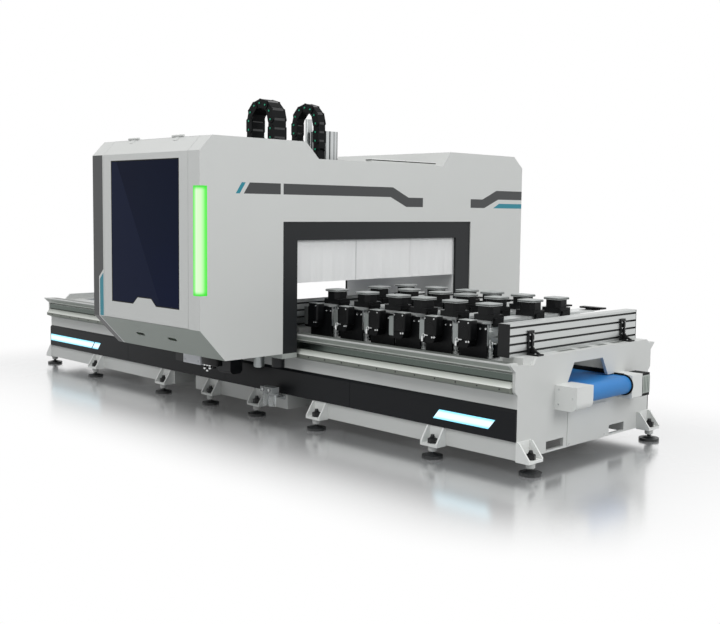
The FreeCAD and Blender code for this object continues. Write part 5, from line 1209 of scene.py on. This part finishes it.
settled(endScrews(), "endScrews", screwSteel, "bed")
# cast ribs with dull, slightly uneven metal
settled(motorRibs(), "motorRibs", metalSurface("ribbedCastAluminium", "BCC2BE", 0.34, 0.48), "bed")
settled(beltSkirts(), "beltSkirts", blackRubber, "bed")

fenceFit = {
    "faces": ((3.2065, 1), (0.7895, -1)),
    "places": (-0.674, 0.573),
    "plate": 0.012,
    "rise": (0.872, 0.918, 0.962),
    "aside": 0.022,
    "toe": 0.066,
    "toeTop": 0.826,
    "radius": 0.0065,
    "toeRadius": 0.0075,
    "length": 0.007,
}


def fenceScrews():
    # three pairs up each bracket's plate and a pair in its toe
    fit = fenceFit
    parts = []
    for face, out in fit["faces"]:
        for place in fit["places"]:
            for y in (place - fit["aside"], place + fit["aside"]):
                for z in fit["rise"]:
                    parts.append(barrel((face + out * (fit["plate"] + 0.002), y, z), (out, 0, 0),
                                        fit["radius"], fit["length"], lip=0.0028))
                parts.append(barrel((face + out * fit["toe"], y, fit["toeTop"] + 0.002), (0, 0, 1),
                                    fit["toeRadius"], fit["length"]))
    return joined(parts)


settled(fenceScrews(), "fenceScrews", screwSteel, "bed")

underFit = {
    "motor": (0.692, -1.134),
    "motorRadius": 0.046,
    "motorRise": (0.478, 0.594),
    "rings": (0.496, 0.516, 0.562),
    "cablePlate": ((0.085, -1.500, 0.482), (0.340, -1.452, 0.636)),
    "valveBlock": ((0.365, -1.505, 0.496), (0.585, -1.440, 0.636)),
    "ports": ((0.378, 0.448, 0.013), (0.414, 0.432, 0.011), (0.452, 0.456, 0.014), (0.505, 0.470, 0.016)),
    "portY": -1.474,
    "portTop": 0.51,
    "nutTop": 0.492,
}


def travelMotor():
    # a turned motor body under the leg, stepped at both ends
    fit = underFit
    (x, y), radius, (low, high) = fit["motor"], fit["motorRadius"], fit["motorRise"]
    parts = [barrel((x, y, (low + high) / 2), (0, 0, -1), radius, high - low, sides=36, lip=0.010,
                    sink=-0.006)]
    for z in fit["rings"]:
        parts.append(barrel((x, y, z), (0, 0, 1), radius + 0.003, 0.008, sides=36, sink=-0.001))
    return joined(parts)


def cablePlate():
    # folded sheet that carries the cables under the cabin
    low, high = underFit["cablePlate"]
    parts = [block(low, high, edge=0.006, steps=3)]
    for x in (low[0] + 0.03, high[0] - 0.03):
        parts.append(barrel((x, low[1] - 0.001, low[2] + 0.03), (0, -1, 0), *plateScrew))
    return joined(parts)


def valveBlock():
    # moulded block with round ports of different reach below it
    fit = underFit
    low, high = fit["valveBlock"]
    parts = [block(low, high, edge=0.010, steps=3)]
    for x, foot, radius in fit["ports"]:
        parts.append(barrel((x, fit["portY"], (foot + fit["portTop"]) / 2), (0, 0, -1), radius,
                            fit["portTop"] - foot, sides=16, sink=0.004))
    return joined(parts)


def hoseNuts():
    # hexagon nuts at both ends of the first three ports
    fit = underFit
    parts = []
    for x, foot, radius in fit["ports"][:3]:
        for z in (fit["nutTop"], foot + 0.012):
            parts.append(barrel((x, fit["portY"], z), (0, 0, -1), radius + 0.0045, 0.013, sides=6, lip=0.002,
                                sink=-0.001))
    return joined(parts)


# turned casting, duller than the rails
motorMetal = metalSurface("turnedCastAluminium", "9DA2A2", 0.32, 0.46)
# thin sheet under a pale satin coat
sheetPaint = plainPaint("powderCoatedFoldedSheet", "DADCE0", spread=0.03, low=0.34, high=0.44)
settled(travelMotor(), "travelMotor", motorMetal, "gantry")
settled(cablePlate(), "cablePlate", sheetPaint, "gantry")
settled(valveBlock(), "valveBlock", coverBlack, "gantry")
settled(hoseNuts(), "hoseNuts", screwSteel, "gantry")

barFit = {"low": (0.4480, -0.402, 2.080), "high": (0.4730, -0.334, 2.655), "slot": (0.007, 0.003),
          "cap": 0.004}


def liftBar():
    # an upright square guide beside the ram, with a slot in its outer faces and a capped top
    low, high, cap = barFit["low"], barFit["high"], barFit["cap"]
    side, depth = barFit["slot"]
    bar = block(low, high, edge=0.002)
    pickFaces(bar, lambda centre, normal: abs(normal.x) > 0.95 or normal.y < -0.95)
    bpy.ops.mesh.inset(thickness=side, depth=-depth, use_individual=True)
    objectMode()
    top = block((low[0] - 0.001, low[1] - 0.001, high[2] - cap),
                (high[0] + 0.001, high[1] + 0.001, high[2] + cap), edge=0.0015)
    return joined([bar, top])


# drawn aluminium with fine upright lines
guideMetal = metalSurface("drawnAluminiumGuide", "C4C8C8", 0.26, 0.40, stretch=(1.0, 1.0, 0.03))
settled(liftBar(), "liftBar", guideMetal, "carriage")

# raised lid beside the roof's slot
lidFit = {
    "low": (0.9850, -0.150, 2.2615),
    "high": (1.0600, 0.715, 2.2950),
    "edge": 0.005,
    "rim": 0.014,
    "recess": (0.004, 0.003),
    "sealRise": (2.2800, 2.2880),
    "proud": 0.0015,
    "joint": (0.296, 0.304),
}


def roofLid():
    # a low folded lid with a sunk top, seated on the dip of the roof
    lid = block(lidFit["low"], lidFit["high"], edge=lidFit["edge"], steps=3)
    slope, depth = lidFit["recess"]
    pickFaces(lid, lambda centre, normal: normal.z > 0.95)
    bpy.ops.mesh.inset(thickness=lidFit["rim"], depth=0)
    bpy.ops.mesh.inset(thickness=slope, depth=-depth)
    objectMode()
    return lid


def lidSeal():
    # rubber line round the lid, proud of its walls, and one across its joint
    low, high, out = lidFit["low"], lidFit["high"], lidFit["proud"]
    (foot, top), (near, far) = lidFit["sealRise"], lidFit["joint"]
    seal = block((low[0] - out, low[1] - out, foot), (high[0] + out, high[1] + out, top), edge=0.0012)
    joint = block((low[0] + 0.004, near, high[2] - 0.005), (high[0] - 0.004, far, high[2] + out), edge=0.001)
    return joined([seal, joint])


# the cabin's coat on the lid's own sheet
lidPaint = plainPaint("powderCoatedLidSheet", paintColours["cabinGrey"], spread=0.015, low=0.30, high=0.38)
settled(roofLid(), "roofLid", lidPaint, "gantry")
settled(lidSeal(), "lidSeal", blackRubber, "gantry")

gaugeFit = {"places": (0.7085, 0.7905), "face": -1.102, "z": 0.277, "radius": 0.017,
            "dial": (-1.1098, -1.108)}


def airGauges():
    # round gauges with a raised rim, one on each filter's head
    fit = gaugeFit
    return joined([barrel((x, fit["face"] - 0.004, fit["z"]), (0, -1, 0), fit["radius"], 0.010, sides=28,
                          lip=0.0025, sink=0.0015) for x in fit["places"]])


# white printed dial under a dark pressed rim
dialPaint = plainPaint("printedDialInPressedRim", "202224", [("EDEFEF", [boxPlanes(y=gaugeFit["dial"])])],
                       spread=0.06, cloudMm=30, low=0.25, high=0.35)
settled(airGauges(), "airGauges", dialPaint, "bed")
print("bed details made")


# door seal

sealFit = {"border": 0.009, "proud": 0.0008}


def glassSeal():
    # the pane's outline taken from a merged copy of the node, kept as a narrow border and raised
    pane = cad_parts["door_glass"]
    seal = bpy.data.objects.new("glassSeal", pane.data.copy())
    seal.data.transform(pane.matrix_world)
    bpy.context.scene.collection.objects.link(seal)
    onlyPick(seal)
    editMode()
    bpy.ops.mesh.select_all(action="SELECT")
    bpy.ops.mesh.remove_doubles(threshold=0.0001)
    bpy.ops.mesh.dissolve_limited(angle_limit=math.radians(3))
    pickFaces(seal, lambda centre, normal: normal.y > -0.9)
    bpy.ops.mesh.delete(type="FACE")
    bpy.ops.mesh.select_all(action="SELECT")
    bpy.ops.mesh.inset(thickness=sealFit["border"], depth=0)
    bpy.ops.mesh.delete(type="FACE")
    bpy.ops.mesh.select_all(action="SELECT")
    bpy.ops.mesh.extrude_region_move(TRANSFORM_OT_translate={"value": (0, -sealFit["proud"], 0)})
    objectMode()
    return seal


settled(glassSeal(), "glassSeal", blackRubber, "door")
print("door seal made")


# chain pins and lids

chainFit = {
    "middle": 0.627,
    "radius": 0.1455,
    "pitch": 0.07532,
    "spring": 2.5925,
    "legLinks": 3,
    "arcLinks": 6,
    "bands": ((-1.084, -0.934), (-0.570, -0.480)),
    "pinHead": 0.002,
    "pinRadius": 0.0082,
    "lid": (0.015, 0.002),  # half its length and thickness
    "lidSink": 0.005,  # under the side plates' edges
    "half": 0.037,
    "plate": 0.0165,  # both side plates at a band's edge
}


def chainPoints():
    # the pins up one leg, over the arch and down the other leg
    fit = chainFit
    middle, radius, spring = fit["middle"], fit["radius"], fit["spring"]
    drops = [k * fit["pitch"] for k in range(1, fit["legLinks"] + 1)]
    points = [(middle - radius, spring - drop) for drop in reversed(drops)]
    for k in range(fit["arcLinks"] + 1):
        angle = math.pi - k * math.pi / fit["arcLinks"]
        points.append((middle + radius * math.cos(angle), spring + radius * math.sin(angle)))
    return points + [(middle + radius, spring - drop) for drop in drops]


def chainPins():
    # a pin head at each joint, on both sides of both chains
    fit = chainFit
    parts = []
    for low, high in fit["bands"]:
        for face, out in ((low - fit["pinHead"], -1), (high + fit["pinHead"], 1)):
            pin = barrel((0, face + out * 0.001, 0), (0, out, 0), fit["pinRadius"], 0.004, sink=0.001)
            parts += copiesOf(pin, [(x, 0, z) for x, z in chainPoints()])
    return joined(parts)


def chainLids():
    # hinged lids between the side plates, inside and outside the arch
    fit = chainFit
    half, thick = fit["lid"]
    parts = []
    for low, high in fit["bands"]:
        for x, z in chainPoints()[1:-1]:
            toward = Vector((x - fit["middle"], 0, max(z - fit["spring"], 0))).normalized()
            turn = Matrix.Rotation(math.atan2(toward.x, toward.z), 4, "Y")
            for side in (-1, 1):
                lid = block((-half, low + fit["plate"], -thick), (half, high - fit["plate"], thick),
                            edge=0.0012, steps=1)
                spot = Vector((x, 0, z)) + toward * side * (fit["half"] - fit["lidSink"])
                lid.data.transform(Matrix.Translation(spot) @ turn)
                parts.append(lid)
    return joined(parts)


settled(chainPins(), "chainPins", greenNylon, "carriage")
# polished nylon: black with a clear shine on each lid
lidNylon = plainPaint("polishedNylonLids", "16181A", spread=0.2, cloudMm=40, grainMm=6, bump=0.06, low=0.14,
                      high=0.28, gloss=0.6)
settled(chainLids(), "chainLids", lidNylon, "carriage")
print("chain pins made")


# side curtains

curtainFit = {
    "panels": ((-1.034, -0.332), (-0.326, 0.378), (0.384, 0.995)),
    "planes": (1.0585, -0.4395),
    "low": 1.217,
    "high": 1.698,
    "thick": 0.002,
    "wave": 0.17,  # from fold to fold
    "ripple": 0.071,
    "rippleShare": 0.5,  # of the wave's depth
    "phase": 1.7,  # from strip to strip
    "topShare": 0.25,  # of the folds' depth at the strip's top
    "depth": 0.0055,
    "lean": 0.012,  # the first strip is pulled aside at its foot
    "slack": 1.01,  # flat width over hung width
}


def curtainSheet(plane, panel, number):
    # a hanging strip whose soft folds deepen towards its free lower edge
    fit = curtainFit
    bpy.ops.object.select_all(action="DESELECT")
    width, drop = panel[1] - panel[0], fit["high"] - fit["low"]
    inward = -1 if plane > 0 else 1
    share, top = fit["rippleShare"], fit["topShare"]
    bpy.ops.mesh.primitive_grid_add(x_subdivisions=72, y_subdivisions=14, size=1)
    sheet = bpy.context.object
    for corner in sheet.data.vertices:
        across, down = corner.co.x + 0.5, 0.5 - corner.co.y
        y = panel[0] + across * width
        bend = math.sin(2 * math.pi * y / fit["wave"] + number * fit["phase"])
        bend += share * math.sin(2 * math.pi * y / fit["ripple"] + number)
        swing = fit["depth"] * (top + (1 - top) * down) * bend / (1 + share)
        pull = fit["lean"] * down * down * (1 - across) if number == 0 else 0.0
        corner.co = (plane + inward * (fit["depth"] - swing), y + pull, fit["high"] - down * drop)
    bpy.ops.object.modifier_add(type="SOLIDIFY")
    sheet.modifiers[-1].thickness = fit["thick"]
    bpy.ops.object.modifier_apply(modifier=sheet.modifiers[-1].name)
    return sheet


for side, plane in enumerate(curtainFit["planes"]):
    for number, panel in enumerate(curtainFit["panels"]):
        name = "curtain%d_%d" % (side + 1, number + 1)
        curtain = settled(curtainSheet(plane, panel, number), name, curtainPvc, "gantry",
                          angle=60)
        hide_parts("strip_curtains")
print("curtains hung")
